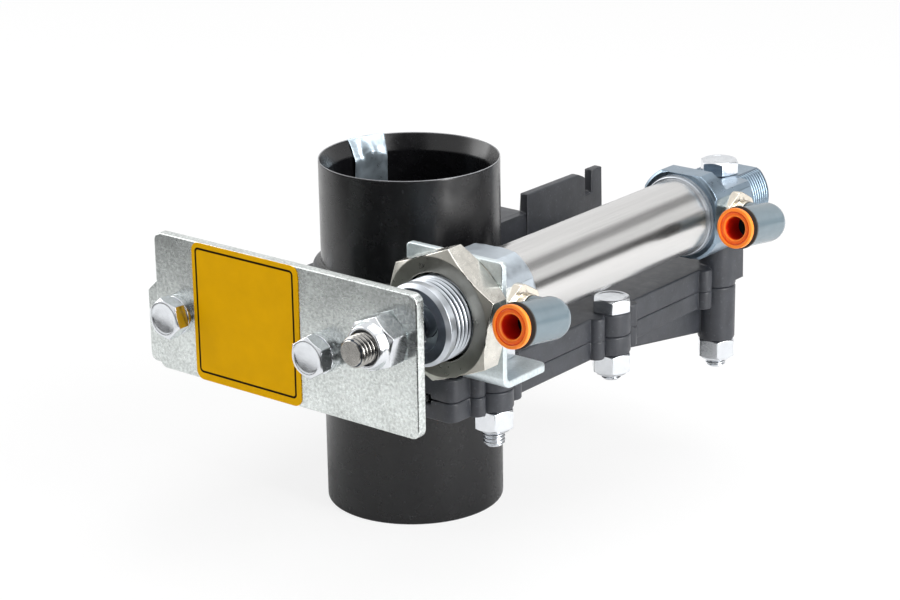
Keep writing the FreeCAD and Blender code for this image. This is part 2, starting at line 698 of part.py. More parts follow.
def make_plate_fasteners():
    height = "parting_height + plate_bolt_rise"
    washer_face = "plate_front - washer_gauge"
    bolts, washers, nuts = [], [], []
    for number, (side, turn) in enumerate(zip(("-", ""), PLATE_BOLT_TURNS), start=1):
        across = side + "plate_bolt_across"
        item = bolt("plate_bolt_%d" % number, "plate_bolt")
        bolts.append(place(item, across, washer_face, height, "-Y", turn))
        item = ring("plate_washer_%d" % number, "bolt_radius", "washer_radius", "washer_gauge")
        washers.append(place(item, across, washer_face, height, "+Y"))
        item = nut("plate_nut_%d" % number, "hex_across", "plain_nut_height", "bolt_radius")
        nuts.append(place(item, across, PLATE_BACK + " + blade_gauge", height, "+Y"))
    group("plate_bolts", bolts)
    group("plate_washers", washers)
    group("plate_nuts", nuts)


# Air cylinder, made along its own axis: the body's Z lies along the valve's Y

def on_cylinder(item, y="0", along="+Y", turn="0"):
    return place(item, "cylinder_across", y, AXIS_HEIGHT, along, turn)


def square_flats(body, start, end):
    """Mills four flats on a turned head."""
    mill = new_sketch(body, "flats", "XY_Plane", start)
    rectangle(mill, "-head_flats", "-head_flats", "head_flats", "head_flats")
    circle(mill, "0", "0", "head_corner + 5")
    pocket(body, mill, "(%s) - (%s)" % (end, start), reverse=True)


def air_port(body, along, inner_reach):
    """A threaded port from the +X side, with the passage that leads from it into the bore."""
    for name, radius, depth in (("port", "port_radius", "port_depth"),
                                ("passage", "port_passage", inner_reach)):
        hole = new_sketch(body, name, "YZ_Plane", "head_flats + 1")
        circle(hole, "0", along, radius)
        pocket(body, hole, depth + " + 1")


def make_front_head():
    """The block behind the bracket, with the threaded nose that goes through it."""
    body = new_body("front_head")
    start = "bracket_front + bracket_gauge"
    end = "tube_start - rim_length"
    turning = new_sketch(body, "turning", "XZ_Plane")
    outline(turning, [("rod_radius + rod_fit", "nose_end + nose_recess_depth"),
                      ("nose_recess", "nose_end + nose_recess_depth"), ("nose_recess", "nose_end"),
                      ("nose_radius - thread_chamfer", "nose_end"),
                      ("nose_radius", "nose_end + thread_chamfer"), ("nose_radius", start),
                      ("head_corner", start), ("head_corner", end), ("rim_radius", end),
                      ("rim_radius", "tube_start"), ("tube_inner", "tube_start"),
                      ("tube_inner", "front_plug"), ("bush_outer", "front_plug"),
                      ("bush_outer", "front_plug - bush_length - rod_seal_length"),
                      ("rod_radius + rod_fit", "front_plug - bush_length - rod_seal_length")])
    turned(body, turning)
    square_flats(body, start, end)
    air_port(body, "front_port", "head_flats - bush_outer")
    on_cylinder(body)


def make_rear_head():
    """The block at the rear, whose threaded stub is milled flat and bored as an eye."""
    body = new_body("rear_head")
    start = "tube_end + rim_length"
    turning = new_sketch(body, "turning", "XZ_Plane")
    outline(turning, [("0", "rear_port - 2 * port_passage"),
                      ("port_passage * 2", "rear_port - 2 * port_passage"),
                      ("port_passage * 2", "rear_plug"), ("tube_inner", "rear_plug"),
                      ("tube_inner", "tube_end"), ("rim_radius", "tube_end"),
                      ("rim_radius", start), ("head_corner", start),
                      ("head_corner", "rear_head_end"), ("nose_radius", "rear_head_end"),
                      ("nose_radius", "stub_end - thread_chamfer"),
                      ("nose_radius - thread_chamfer", "stub_end"), ("0", "stub_end")])
    turned(body, turning)
    square_flats(body, start, "rear_head_end")
    air_port(body, "rear_port", "head_flats")
    feed = new_sketch(body, "feed", "XY_Plane", "rear_plug + 1")
    circle(feed, "0", "0", "port_passage")
    pocket(body, feed, "rear_port - rear_plug + port_passage", reverse=True)

    eye = new_sketch(body, "eye_flat", "YZ_Plane", "head_corner + 1")
    rectangle(eye, "-head_corner - 1", "eye_flat_start", "-eye_flat", "stub_end + 1")
    pocket(body, eye, "2 * head_corner + 2")
    hole = new_sketch(body, "eye_hole", "XZ_Plane", "head_corner + 1")
    circle(hole, "0", BOLT_ROWS[2], "bolt_hole")
    pocket(body, hole)
    on_cylinder(body)


def make_cylinder_tube():
    tube = ring("cylinder_tube", "tube_inner", "tube_outer", "tube_end - tube_start")
    node(on_cylinder(tube, "tube_start"), "cylinder_tube")


def make_rod_guides():
    bush = ring("rod_bush", "rod_radius + rod_fit", "bush_outer", "bush_length")
    node(on_cylinder(bush, "front_plug - bush_length"), "rod_bush")
    seal = ring("rod_seal", "rod_radius + rod_fit", "bush_outer", "rod_seal_length")
    node(on_cylinder(seal, "front_plug - bush_length - rod_seal_length"), "rod_seal")


def make_piston():
    body = new_body("piston")
    front = PISTON_REAR + " - piston_length"
    lips = [front + " + lip_margin", PISTON_REAR + " - lip_margin - lip_length"]
    turning = new_sketch(body, "turning", "XZ_Plane")
    corners = [("piston_neck", front), ("piston_radius", front)]
    for low in lips:
        corners += [("piston_radius", low), ("lip_core", low),
                    ("lip_core", low + " + lip_length"), ("piston_radius", low + " + lip_length")]
    corners += [("piston_radius", PISTON_REAR), ("piston_neck", PISTON_REAR)]
    outline(turning, corners)
    turned(body, turning)
    on_cylinder(body)

    seals = []
    for number, low in enumerate(lips, start=1):
        item = ring("piston_seal_%d" % number, "lip_core", "tube_inner - rod_fit", "lip_length")
        seals.append(on_cylinder(item, low))
    group("piston_seals", seals)


def make_piston_rod():
    """The rod, from the piston's rear face to the threaded end in front of the plate."""
    body = new_body("piston_rod")
    turning = new_sketch(body, "turning", "XZ_Plane")
    outline(turning, [("0", "rod_end"), ("rod_radius - thread_chamfer", "rod_end"),
                      ("rod_radius", "rod_end + thread_chamfer"), ("rod_radius", PISTON_REAR),
                      ("0", PISTON_REAR)])
    turned(body, turning)
    on_cylinder(body)


def make_rod_nuts():
    """One nut each side of the front plate holds the rod to it."""
    jam = nut("rod_jam_nut", "rod_hex", "jam_nut_height", "rod_radius")
    node(on_cylinder(jam, PLATE_BACK, turn=JAM_NUT_TURN), "rod_jam_nut")
    lock = locking_nut("rod_lock_nut", "rod_hex", "lock_nut_height", "lock_hex_height", "rod_radius")
    node(on_cylinder(lock, "plate_front", "-Y", LOCK_NUT_TURN), "rod_lock_nut")


def make_bracket():
    """The angle that holds the cylinder's nose to the housing."""
    body = new_body("cylinder_bracket")
    foot = "parting_height + flange_rise"
    front = "bracket_front"
    side = new_sketch(body, "side", "YZ_Plane", "bracket_left")
    outline(side, [(front, foot), (front + " + bracket_foot", foot),
                   (front + " + bracket_foot", foot + " + bracket_gauge"),
                   (front + " + bracket_gauge", foot + " + bracket_gauge"),
                   (front + " + bracket_gauge", foot + " + bracket_height"),
                   (front, foot + " + bracket_height")])
    pad(body, side, "bracket_width")
    round_edges(body, "inner_bend", "bend_radius",
                lambda edge, middle: is_line(edge, X_AXIS)
                and near(middle.y, front + " + bracket_gauge") and near(middle.z, foot + " + bracket_gauge"))
    round_edges(body, "outer_bend", "bend_radius + bracket_gauge",
                lambda edge, middle: is_line(edge, X_AXIS) and near(middle.y, front) and near(middle.z, foot))
    round_edges(body, "upper_corners", "bracket_corner",
                lambda edge, middle: is_line(edge, Y_AXIS) and near(middle.z, foot + " + bracket_height"))
    round_edges(body, "foot_corners", "foot_corner",
                lambda edge, middle: is_line(edge, Z_AXIS) and near(middle.y, front + " + bracket_foot"))
    nose = new_sketch(body, "nose_hole", "XZ_Plane", "-(%s) + 1" % front)
    circle(nose, "cylinder_across", AXIS_HEIGHT, "nose_hole")
    pocket(body, nose, "bracket_gauge + 2")
    bolt_sketch = new_sketch(body, "bolt_hole", "XY_Plane", foot + " + bracket_gauge + 1")
    circle(bolt_sketch, "bolt_across", BOLT_ROWS[0], "bolt_hole")
    pocket(body, bolt_sketch, "bracket_gauge + 2")


def make_nose_nut():
    item = nut("nose_nut", "nose_hex", "nose_nut_height", "nose_radius", "nose_share")
    node(on_cylinder(item, "bracket_front", "-Y", NOSE_NUT_TURN), "nose_nut")


# Elbow fittings: the body's X is the port's axis, its -Y points out of the barrel

def on_barrel(item, port):
    """Puts a piece of an elbow's barrel on its port, tilted upwards."""
    return place(item, BARREL, port, AXIS_HEIGHT, tilt="-elbow_tilt")


def make_elbow(name, port):
    seat = "head_flats - elbow_across"
    hex_end = seat + " + elbow_hex_height"
    neck_end = hex_end + " + neck_length"
    stem_end = seat + " - port_depth + port_end_gap"
    corner = "elbow_hex / 2 / cos(30 deg)"

    stem = new_body(name + "_elbow_stem")
    turning = new_sketch(stem, "turning", "XY_Plane")
    outline(turning, [(stem_end, "spindle_passage"), (stem_end, "port_radius"), (seat, "port_radius"),
                      (seat, "elbow_hex_corner"), (hex_end, "elbow_hex_corner"),
                      (hex_end, "neck_radius"), (neck_end, "neck_radius"),
                      (neck_end, "spindle_radius"), ("-spindle_reach", "spindle_radius"),
                      ("-spindle_reach", "spindle_passage")])
    turned(stem, turning, "H_Axis")
    flats = new_sketch(stem, "flats", "YZ_Plane", seat)
    corners = []
    for step in range(6):
        angle = "(%d deg)" % (30 + 60 * step)
        corners.append((corner + " * cos" + angle, corner + " * sin" + angle))
    outline(flats, corners)
    circle(flats, "0", "0", "elbow_hex")
    pocket(stem, flats, "elbow_hex_height", reverse=True)
    place(stem, BARREL, port, AXIS_HEIGHT)

    barrel = new_body(name + "_elbow_body")
    side = new_sketch(barrel, "side", "XY_Plane")
    rectangle(side, "0", "-barrel_front", "barrel_radius", "barrel_tail")
    turned(barrel, side)
    round_edges(barrel, "tail", "barrel_rounding", lambda edge, middle: near(middle.y, "barrel_tail"))
    foot = new_sketch(barrel, "foot", "YZ_Plane", neck_end + " + swivel_gap")
    circle(foot, "0", "0", "foot_radius")
    pad(barrel, foot, "-foot_end - (%s) - swivel_gap" % neck_end)
    socket = new_sketch(barrel, "socket", "XY_Plane")
    outline(socket, [("0", "-barrel_front - 1"), ("barrel_socket", "-barrel_front - 1"),
                     ("barrel_socket", "-barrel_step"), ("throat_radius", "-barrel_step"),
                     ("throat_radius", "throat_end"), ("0", "throat_end")])
    groove(barrel, socket)
    seat_hole = new_sketch(barrel, "spindle_hole", "YZ_Plane", hex_end)
    circle(seat_hole, "0", "0", "spindle_radius + rod_fit")
    pocket(barrel, seat_hole, "-spindle_reach - (%s) + swivel_gap" % hex_end, reverse=True)
    on_barrel(barrel, port)

    grip = new_body(name + "_grip_ring")
    side = new_sketch(grip, "side", "XY_Plane")
    rectangle(side, "barrel_socket", "-barrel_front - grip_ring_length", "grip_ring_radius", "-barrel_front")
    turned(grip, side)
    on_barrel(grip, port)

    seal = new_body(name + "_tube_seal")
    side = new_sketch(seal, "side", "XY_Plane")
    rectangle(side, "tube_radius", "-barrel_step - tube_seal_length", "barrel_socket", "-barrel_step")
    turned(seal, side)
    on_barrel(seal, port)

    collar = new_body(name + "_release_collar")
    side = new_sketch(collar, "side", "XY_Plane")
    outline(side, [("sleeve_inner", "-collar_front"), ("collar_flange", "-collar_front"),
                   ("collar_flange", "-collar_front + collar_gauge"),
                   ("sleeve_outer", "-collar_front + collar_gauge"),
                   ("sleeve_outer", "-sleeve_end"), ("sleeve_inner", "-sleeve_end")])
    turned(collar, side)
    on_barrel(collar, port)


def make_earthing_strip():
    """Metal strip over the spigot's rim, which drains static charge from the bore."""
    body = new_body("earthing_strip")
    top = "spigot_length"
    side = new_sketch(body, "side", "XZ_Plane")
    outline(side, [("spigot_radius", top + " - strip_outside"),
                   ("spigot_radius + strip_gauge", top + " - strip_outside"),
                   ("spigot_radius + strip_gauge", top + " + strip_gauge"),
                   ("mouth_radius - strip_gauge", top + " + strip_gauge"),
                   ("bore_radius - strip_gauge", top + " - mouth_depth"),
                   ("bore_radius - strip_gauge", top + " - strip_inside"),
                   ("bore_radius", top + " - strip_inside"),
                   ("bore_radius", top + " - mouth_depth"),
                   ("mouth_radius", top), ("spigot_radius", top)])
    turned(body, side, angle="strip_angle")
    place(body, z="parting_height", turn="strip_start")


make_upper_housing()
make_lower_housing()
make_gate_seals()
make_housing_fasteners()
make_gate_blade()
make_front_plate()
make_front_label()
make_plate_fasteners()
make_front_head()
make_rear_head()
make_cylinder_tube()
make_rod_guides()
make_piston()
make_piston_rod()
make_rod_nuts()
make_bracket()
make_nose_nut()
make_elbow("front", "front_port")
make_elbow("rear", "rear_port")
make_earthing_strip()

doc.recompute()
for item in doc.Objects:
    if "Invalid" in item.State or "Error" in item.State:
        raise RuntimeError("%s failed: %s" % (item.Name, item.State))
for item in nodes:
    if item.Shape.isNull() or not item.Shape.isValid():
        raise RuntimeError(item.Label + " has no valid shape")

os.makedirs("parts", exist_ok=True)
for item in nodes:
    item.Shape.exportStep("parts/%s.step" % item.Label)
    box = item.Shape.BoundBox
    print("%-22s solids %d volume %9.1f  x %6.1f %6.1f  y %6.1f %6.1f  z %6.1f %6.1f" % (
        item.Label, len(item.Shape.Solids), item.Shape.Volume,
        box.XMin, box.XMax, box.YMin, box.YMax, box.ZMin, box.ZMax))
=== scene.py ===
"""Dresses a pneumatic shut-off valve: finishes, threads, rounded edges, stage and camera."""

import math

import bmesh
import bpy
from mathutils import Matrix, Vector, noise


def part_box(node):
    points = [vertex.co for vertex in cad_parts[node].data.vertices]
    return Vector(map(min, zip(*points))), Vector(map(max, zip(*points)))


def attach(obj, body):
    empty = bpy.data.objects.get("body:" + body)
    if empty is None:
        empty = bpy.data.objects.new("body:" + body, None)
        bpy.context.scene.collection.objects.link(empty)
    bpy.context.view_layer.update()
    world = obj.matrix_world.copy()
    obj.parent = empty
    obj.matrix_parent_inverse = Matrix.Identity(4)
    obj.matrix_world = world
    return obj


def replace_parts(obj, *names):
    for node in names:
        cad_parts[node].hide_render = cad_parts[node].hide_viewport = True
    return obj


bl_info = {
    "name": "Shut-off valve",
    "version": (1, 0, 0),
    "blender": (4, 5, 0),
    "location": "3D View > Sidebar > Valve",
    "description": "Builds a pneumatic shut-off valve for a suction pipe, with its stage",
    "category": "Object",
}

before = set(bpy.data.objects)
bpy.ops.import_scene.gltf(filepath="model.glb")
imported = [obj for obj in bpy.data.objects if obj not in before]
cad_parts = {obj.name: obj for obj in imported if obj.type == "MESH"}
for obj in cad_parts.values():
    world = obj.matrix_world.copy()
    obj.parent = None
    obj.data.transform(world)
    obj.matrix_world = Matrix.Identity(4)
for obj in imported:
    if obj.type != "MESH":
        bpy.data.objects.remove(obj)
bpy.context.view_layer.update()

MM = 0.001
AXIS_X, AXIS_Z = 0.0474, 0.0752  # the air cylinder's axis
BARREL_X = 0.0710  # both elbows' barrels
PORTS = {"front": -0.0302, "rear": 0.0710}
BARREL_TILT = math.radians(8)
PLATE_FRONT = -0.0663
PLATE_BACK = -0.0633
FLANGE = 0.002  # thickness of the blade's flange, behind the plate
WASHER = 0.0016
SCREW_Z = 0.0665  # height of the plate's two screws
PARTING = 0.0495  # height at which the housing's halves meet
SPIGOT_RADIUS = 0.0262
SPIGOT_FROM = 0.0068  # the spigots' smooth walls start this far from the parting
SPIGOT_LENGTH = 0.0495  # parting to a spigot's end face
# Height of the band at each spigot's end that is painted pale, as a painted highlight on the thin edge.
LIP_HIGHLIGHT = 0.0002
HEAD_RADIUS, HEAD_FLAT = 13.9, 12.3  # the cylinder heads, in millimetres: corners and flats from the axis
EYE_FLAT = 7.9  # cylinder axis up to the rear eye's milled flat, in millimetres
SHARP = math.radians(25)  # edges that turn further than this are broken

# Frames whose Z lies along the cylinder's axis, to the rear and to the front.
REARWARD = Matrix.Translation((AXIS_X, 0, AXIS_Z)) @ Matrix.Rotation(-math.pi / 2, 4, "X")
FORWARD = Matrix.Translation((AXIS_X, 0, AXIS_Z)) @ Matrix.Rotation(math.pi / 2, 4, "X")
UPRIGHT = Matrix.Identity(4)


def shifted(place, distance):
    """A frame moved along its own Z."""
    return place @ Matrix.Translation((0, 0, distance))


def srgb(red, green, blue):
    """A colour given as it looks on a screen, 0 to 255, in linear light."""
    linear = []
    for part in (red, green, blue):
        part /= 255
        linear.append(part / 12.92 if part <= 0.04045 else ((part + 0.055) / 1.055) ** 2.4)
    return tuple(linear)


# Settings

def length(name, description, default):
    return bpy.props.FloatProperty(name=name, description=description, default=default,
                                   min=0.0, subtype="DISTANCE", unit="LENGTH", precision=5)


def colour(name, description, *screen):
    return bpy.props.FloatVectorProperty(name=name, description=description, size=3,
                                         default=srgb(*screen), min=0.0, max=1.0, subtype="COLOR")


class ValveSizes(bpy.types.PropertyGroup):
    """Sizes that only the looks need."""

    moulded_edge: length("Moulded edge", "Rounding of the housing's edges", 0.00055)
    sheet_edge: length("Sheet edge", "Rounding of the sheet metal's edges", 0.0004)
    machined_edge: length("Machined edge", "Broken edges of the turned parts", 0.00015)
    bracket_edge: length("Bracket edge", "Rounding of the bracket's edges", 0.00032)
    barrel_edge: length("Barrel edge", "Rounding of the elbows' barrels", 0.0002)
    label_edge: length("Label edge", "Rounding of the label's edge", 0.0001)
    nose_pitch: length("Nose pitch", "Pitch of the cylinder's M22 nose", 0.0015)
    stub_pitch: length("Stub pitch", "Pitch of the threaded stub at the cylinder's rear", 0.001125)
    rod_pitch: length("Rod pitch", "Pitch of the piston rod's M8 thread", 0.00125)
    bolt_pitch: length("Bolt pitch", "Pitch of the M6 threads", 0.001)
    line_width: length("Frame line", "Width of the line printed round the label", 0.0006)
    line_corner: length("Frame corner", "Rounding of that line's corners", 0.001)


class ValveColours(bpy.types.PropertyGroup):
    """Colours of the finishes."""

    housing: colour("Housing", "Grained plastic of the housing", 47, 49, 54)
    # The spigots' plastic is smoother, and its much darker colour than the housing's is painted shade.
    spigot: colour("Spigots", "Smooth plastic of both spigots", 13, 13, 15)
    # A pale copy of the housing plastic for the spigots' thin end lips: a painted highlight.
    lip: colour("Spigot lips", "Painted highlight along the spigots' thin edges", 128, 129, 132)
    label: colour("Label", "Label film", 221, 166, 0)
    line: colour("Frame line", "Line printed round the label", 22, 10, 2)
    barrel: colour("Barrel", "Elbow fittings", 98, 111, 118)
    collar: colour("Collar", "Release collars", 238, 100, 20)
    # A lighter copy of the collar's orange for its raised rims and the lip round its bore: a painted
    # highlight.
    collar_rim: colour("Collar rim", "Raised rims of the collars", 250, 136, 44)
    # A darker copy of the collar's orange for its bores: painted shade.
    collar_bore: colour("Collar bore", "Bores of the collars", 206, 30, 8)
    zinc: colour("Zinc", "Bolts and nuts", 215, 218, 222)
    sheet: colour("Sheet", "Galvanised sheet", 216, 221, 219)


class ValveStage(bpy.types.PropertyGroup):
    """Floor and light."""

    floor: colour("Floor", "Colour of the floor", 244, 244, 244)
    daylight: bpy.props.FloatProperty(name="Daylight", description="Strength of the light all round",
                                      default=0.45, min=0.0)
    lens: bpy.props.FloatProperty(name="Lens", description="Focal length of the camera",
                                  default=103.004, min=1.0, unit="CAMERA")


# Node trees

class Wire:
    """What a node puts out. Where that is a number, it takes plain arithmetic."""

    def __init__(self, graph, socket):
        self.graph = graph
        self.socket = socket

    def __add__(self, other):
        return self.graph.math("ADD", self, other)

    def __sub__(self, other):
        return self.graph.math("SUBTRACT", self, other)

    def __rsub__(self, other):
        return self.graph.math("SUBTRACT", other, self)

    def __mul__(self, other):
        return self.graph.math("MULTIPLY", self, other)

    def __truediv__(self, other):
        return self.graph.math("DIVIDE", self, other)

    def __abs__(self):
        return self.graph.math("ABSOLUTE", self)

    def at_most(self, other):
        return self.graph.math("MINIMUM", self, other)

    def at_least(self, other):
        return self.graph.math("MAXIMUM", self, other)


class Graph:
    """Adds nodes to a tree, already linked."""

    def __init__(self, tree):
        self.tree = tree

    def feed(self, socket, value):
        if isinstance(value, Wire):
            self.tree.links.new(value.socket, socket)
        else:
            socket.default_value = value

    def node(self, kind, inputs=None, **settings):
        item = self.tree.nodes.new(kind)
        for key, value in settings.items():
            setattr(item, key, value)
        for key, value in (inputs or {}).items():
            self.feed(item.inputs[key], value)
        return item

    def out(self, kind, inputs=None, pick=0, **settings):
        """One output of a new node."""
        return Wire(self, self.node(kind, inputs, **settings).outputs[pick])

    def math(self, operation, *values):
        return self.out("ShaderNodeMath", dict(enumerate(values)), operation=operation)

    def ramp(self, value, low, high, start=0.0, end=1.0):
        """Stretches a value from low..high to start..end."""
        return self.out("ShaderNodeMapRange", {"Value": value, "From Min": low, "From Max": high,
                                               "To Min": start, "To Max": end})

    def vector(self, x=0.0, y=0.0, z=0.0):
        return self.out("ShaderNodeCombineXYZ", {"X": x, "Y": y, "Z": z})

    def split(self, vector):
        """A vector's three numbers."""
        item = self.node("ShaderNodeSeparateXYZ", {"Vector": vector})
        return [Wire(self, socket) for socket in item.outputs]


# Finishes

class Finish(Graph):
    """A material whose pattern lies on Object coordinates."""

    def __init__(self, name, metallic=0.0, stretch=(1, 1, 1)):
        self.material = bpy.data.materials.new(name)
        self.material.use_nodes = True
        super().__init__(self.material.node_tree)
        self.shader = self.tree.nodes["Principled BSDF"]
        self.shader.inputs["Metallic"].default_value = metallic
        self.place = self.scaled(self.out("ShaderNodeTexCoord", pick="Object"), stretch)

    def scaled(self, place, scale):
        return self.out("ShaderNodeMapping", {"Vector": place, "Scale": scale})

    def noise(self, size, detail=3.0, place=None):
        """Soft noise whose blots are about this size, in metres."""
        return self.out("ShaderNodeTexNoise", {"Vector": place or self.place, "Scale": 1 / size,
                                               "Detail": detail, "Roughness": 0.6})

    def mix(self, amount, first, second):
        return self.out("ShaderNodeMix", {0: amount, 6: opaque(first), 7: opaque(second)}, 2,
                        data_type="RGBA")

    def mottle(self, colour, spread, size):
        """Lets a colour wander darker and lighter by a share of itself."""
        amount = self.ramp(self.noise(size, 4.0), 0.3, 0.7)
        return self.mix(amount, scaled_colour(colour, 1 - spread), scaled_colour(colour, 1 + spread))

    def rough(self, low, high, size):
        self.feed(self.shader.inputs["Roughness"], self.ramp(self.noise(size), 0.3, 0.7, low, high))

    def bump(self, height, depth, strength=1.0, under=None):
        inputs = {"Height": height, "Strength": strength, "Distance": depth}
        if under is not None:
            inputs["Normal"] = under
        normal = self.out("ShaderNodeBump", inputs)
        self.feed(self.shader.inputs["Normal"], normal)
        return normal

    def set(self, **values):
        for key, value in values.items():
            self.shader.inputs[key.replace("_", " ").title().replace("Ior", "IOR")].default_value = value
        return self

    def base(self, colour):
        self.feed(self.shader.inputs["Base Color"], opaque(colour))


def opaque(colour):
    """A colour as a shader's socket takes it, or the wire that already carries one."""
    return colour if isinstance(colour, Wire) else (*colour, 1)


def scaled_colour(colour, share):
    return tuple(min(1.0, part * share) for part in colour)


def plain_finish(name, colour, metallic, low, high, grain, spread, dents=0.0, dent_size=None):
    """A mottled finish that may have fine dents; the grain and the dents are in metres."""
    finish = Finish(name, metallic)
    finish.base(finish.mottle(colour, spread, grain))
    finish.rough(low, high, grain * 0.6)
    if dents:
        finish.bump(finish.noise(dent_size or grain / 3, 4.0), dents)
    return finish.material


# Name, colour, metallic, roughness from and to, size of the grain and how far the colour wanders, and then
# the depth and size of the dents where there are any.
PLAIN_FINISHES = {
    "rubber": ("seal rubber", (26, 26, 27), 0.0, 0.6, 0.75, 0.002, 0.1, 0.00002),
    "nylon": ("locking ring", (40, 42, 46), 0.0, 0.4, 0.5, 0.001, 0.1, 0.00002),
    "grip": ("dark ring", (44, 40, 36), 0.0, 0.35, 0.5, 0.001, 0.1, 0.00001),
    "thread": ("zinc plated thread", (190, 193, 197), 1.0, 0.2, 0.32, 0.0015, 0.1),
    "nickel": ("bright nickel flats", (216, 213, 205), 1.0, 0.16, 0.3, 0.003, 0.12, 0.00003, 0.0012),
    # The nose nut's front face: rougher than the flats, and painted darker as painted shade.
    "nickel face": ("dull nickel face", (150, 148, 141), 1.0, 0.26, 0.38, 0.004, 0.1, 0.00001, 0.0016),
    "stem": ("cream nickel", (226, 218, 204), 1.0, 0.14, 0.24, 0.002, 0.06, 0.00001, 0.0008),
    "front head": ("pale zinc", (188, 197, 205), 1.0, 0.28, 0.38, 0.003, 0.06),
    "rear head": ("blue zinc", (136, 152, 166), 1.0, 0.26, 0.36, 0.003, 0.08),
    "stub": ("blue zinc thread", (136, 153, 167), 1.0, 0.26, 0.36, 0.002, 0.1),
    # Darker copies of the thread finishes for the roots and lower flanks of threads: painted shade.
    "stub groove": ("blue zinc groove", (98, 113, 128), 1.0, 0.3, 0.42, 0.0015, 0.12),
    "groove": ("thread groove", (62, 68, 76), 1.0, 0.3, 0.42, 0.0015, 0.15),
    "nose": ("bright turned steel", (192, 197, 203), 1.0, 0.32, 0.44, 0.003, 0.07),
    "nose face": ("dark turned steel", (112, 118, 128), 1.0, 0.3, 0.4, 0.002, 0.1),
    "chrome": ("chromed rod", (212, 214, 218), 1.0, 0.05, 0.12, 0.004, 0.05),
    "dark steel": ("rod end", (164, 162, 158), 1.0, 0.2, 0.32, 0.0015, 0.16, 0.00001, 0.0008),
    "aluminium": ("piston metal", (200, 200, 202), 1.0, 0.3, 0.4, 0.003, 0.1),
    "bronze": ("bush bronze", (176, 132, 80), 1.0, 0.35, 0.5, 0.001, 0.15),
}


def make_finishes():
    colours = bpy.context.scene.valve_colours
    made = {key: plain_finish(name, srgb(*screen), *rest)
            for key, (name, screen, *rest) in PLAIN_FINISHES.items()}
    made["zinc"] = plain_finish("zinc plated steel", colours.zinc, 1.0, 0.14, 0.26, 0.003, 0.06,
                                0.000012, 0.0012)
    for key, name, specks, roughness, grain in (
            ("housing", "grained plastic", (80, 83, 90), (0.38, 0.5), 0.00004),
            # The spigots' finish is smoother, and painted darker than the housing's as painted shade.
            ("spigot", "smooth plastic", (44, 45, 48), (0.22, 0.3), 0.000006),
            # The lips' finish is a painted highlight along the spigots' thin edges.
            ("lip", "worn lip", (170, 171, 174), (0.24, 0.34), 0.000006)):
        made[key] = moulded(name, getattr(colours, key), srgb(*specks), roughness, grain)
    made["plate"] = galvanised("galvanised plate", colours.sheet, 1.0, (0.25, 0.29))
    made["bracket"] = galvanised("galvanised bracket", srgb(220, 229, 232), 0.4, (0.34, 0.4))
    made["label"] = label_film()

    tube = Finish("brushed tube", 1.0, (1, 0.02, 1))
    tube.base(tube.mottle(srgb(208, 207, 206), 0.04, 0.0006))
    tube.rough(0.2, 0.26, 0.0004)
    tube.bump(tube.noise(0.0003, 2.0), 0.0000015, 0.5)
    made["tube"] = tube.material

    barrel = Finish("fitting plastic")
    barrel.base(barrel.mottle(colours.barrel, 0.04, 0.004))
    barrel.rough(0.18, 0.26, 0.004)
    made["barrel"] = barrel.set(specular_ior_level=0.5).material

    # The rim and bore finishes are lighter and darker copies of the collar's orange: painted highlight and
    # painted shade.
    for key in ("collar", "collar_rim", "collar_bore"):
        collar = Finish(key.replace("_", " ") + " plastic")
        collar.base(collar.mottle(getattr(colours, key), 0.05, 0.002))
        collar.rough(0.3, 0.4, 0.002)
        made[key] = collar.set(subsurface_weight=0.12, subsurface_scale=0.001,
                               specular_ior_level=0.3).material

    foil = Finish("earthing foil", 0.85)
    foil.base(foil.mottle(srgb(182, 196, 206), 0.08, 0.002))
    foil.rough(0.26, 0.4, 0.002)
    foil.bump(foil.noise(0.003, 1.0), 0.00002, 0.4)
    made["foil"] = foil.material
    return made


def moulded(name, colour, specks, roughness, grain):
    """Moulded plastic with pale specks; the grain's depth is in metres."""
    finish = Finish(name)
    dark = finish.mottle(colour, 0.2, 0.005)
    amount = finish.ramp(finish.noise(0.0009, 2.0), 0.62, 0.74, 0.0, 0.5)
    finish.base(finish.mix(amount, dark, specks))
    finish.rough(*roughness, 0.004)
    sweep = finish.bump(finish.noise(0.012, 1.0), 0.00008, 0.3)
    finish.bump(finish.noise(0.0006, 1.0), grain, 0.7, sweep)
    return finish.set(specular_ior_level=0.45).material


def galvanised(name, colour, wear, roughness):
    """Zinc dipped sheet: fine grain, soft clouds, rolling streaks and small dark specks."""
    finish = Finish(name, 1.0)
    grain = finish.ramp(finish.noise(0.0008), 0.32, 0.68)
    clouds = finish.ramp(finish.noise(0.008, 5.0), 0.3, 0.7)
    shade = finish.mix(grain * 0.7 + clouds * 0.3, scaled_colour(colour, 1 - 0.4 * wear),
                       scaled_colour(colour, 1 + 0.24 * wear))
    specks = finish.ramp(finish.noise(0.0014, 2.0), 0.7, 0.76, 0.0, 0.6 * wear)
    finish.base(finish.mix(specks, shade, scaled_colour(colour, 0.35)))
    rolled = finish.scaled(finish.place, (0.12, 1, 1))
    streaks = finish.ramp(finish.noise(0.0016, 4.0, rolled), 0.3, 0.7, -0.02, 0.02)
    finish.feed(finish.shader.inputs["Roughness"], finish.ramp(clouds, 0.0, 1.0, *roughness) + streaks)
    dents = finish.bump(finish.noise(0.004, 1.0), 0.00001, 0.6)
    finish.bump(grain, 0.000006, 0.5, dents)
    return finish.material


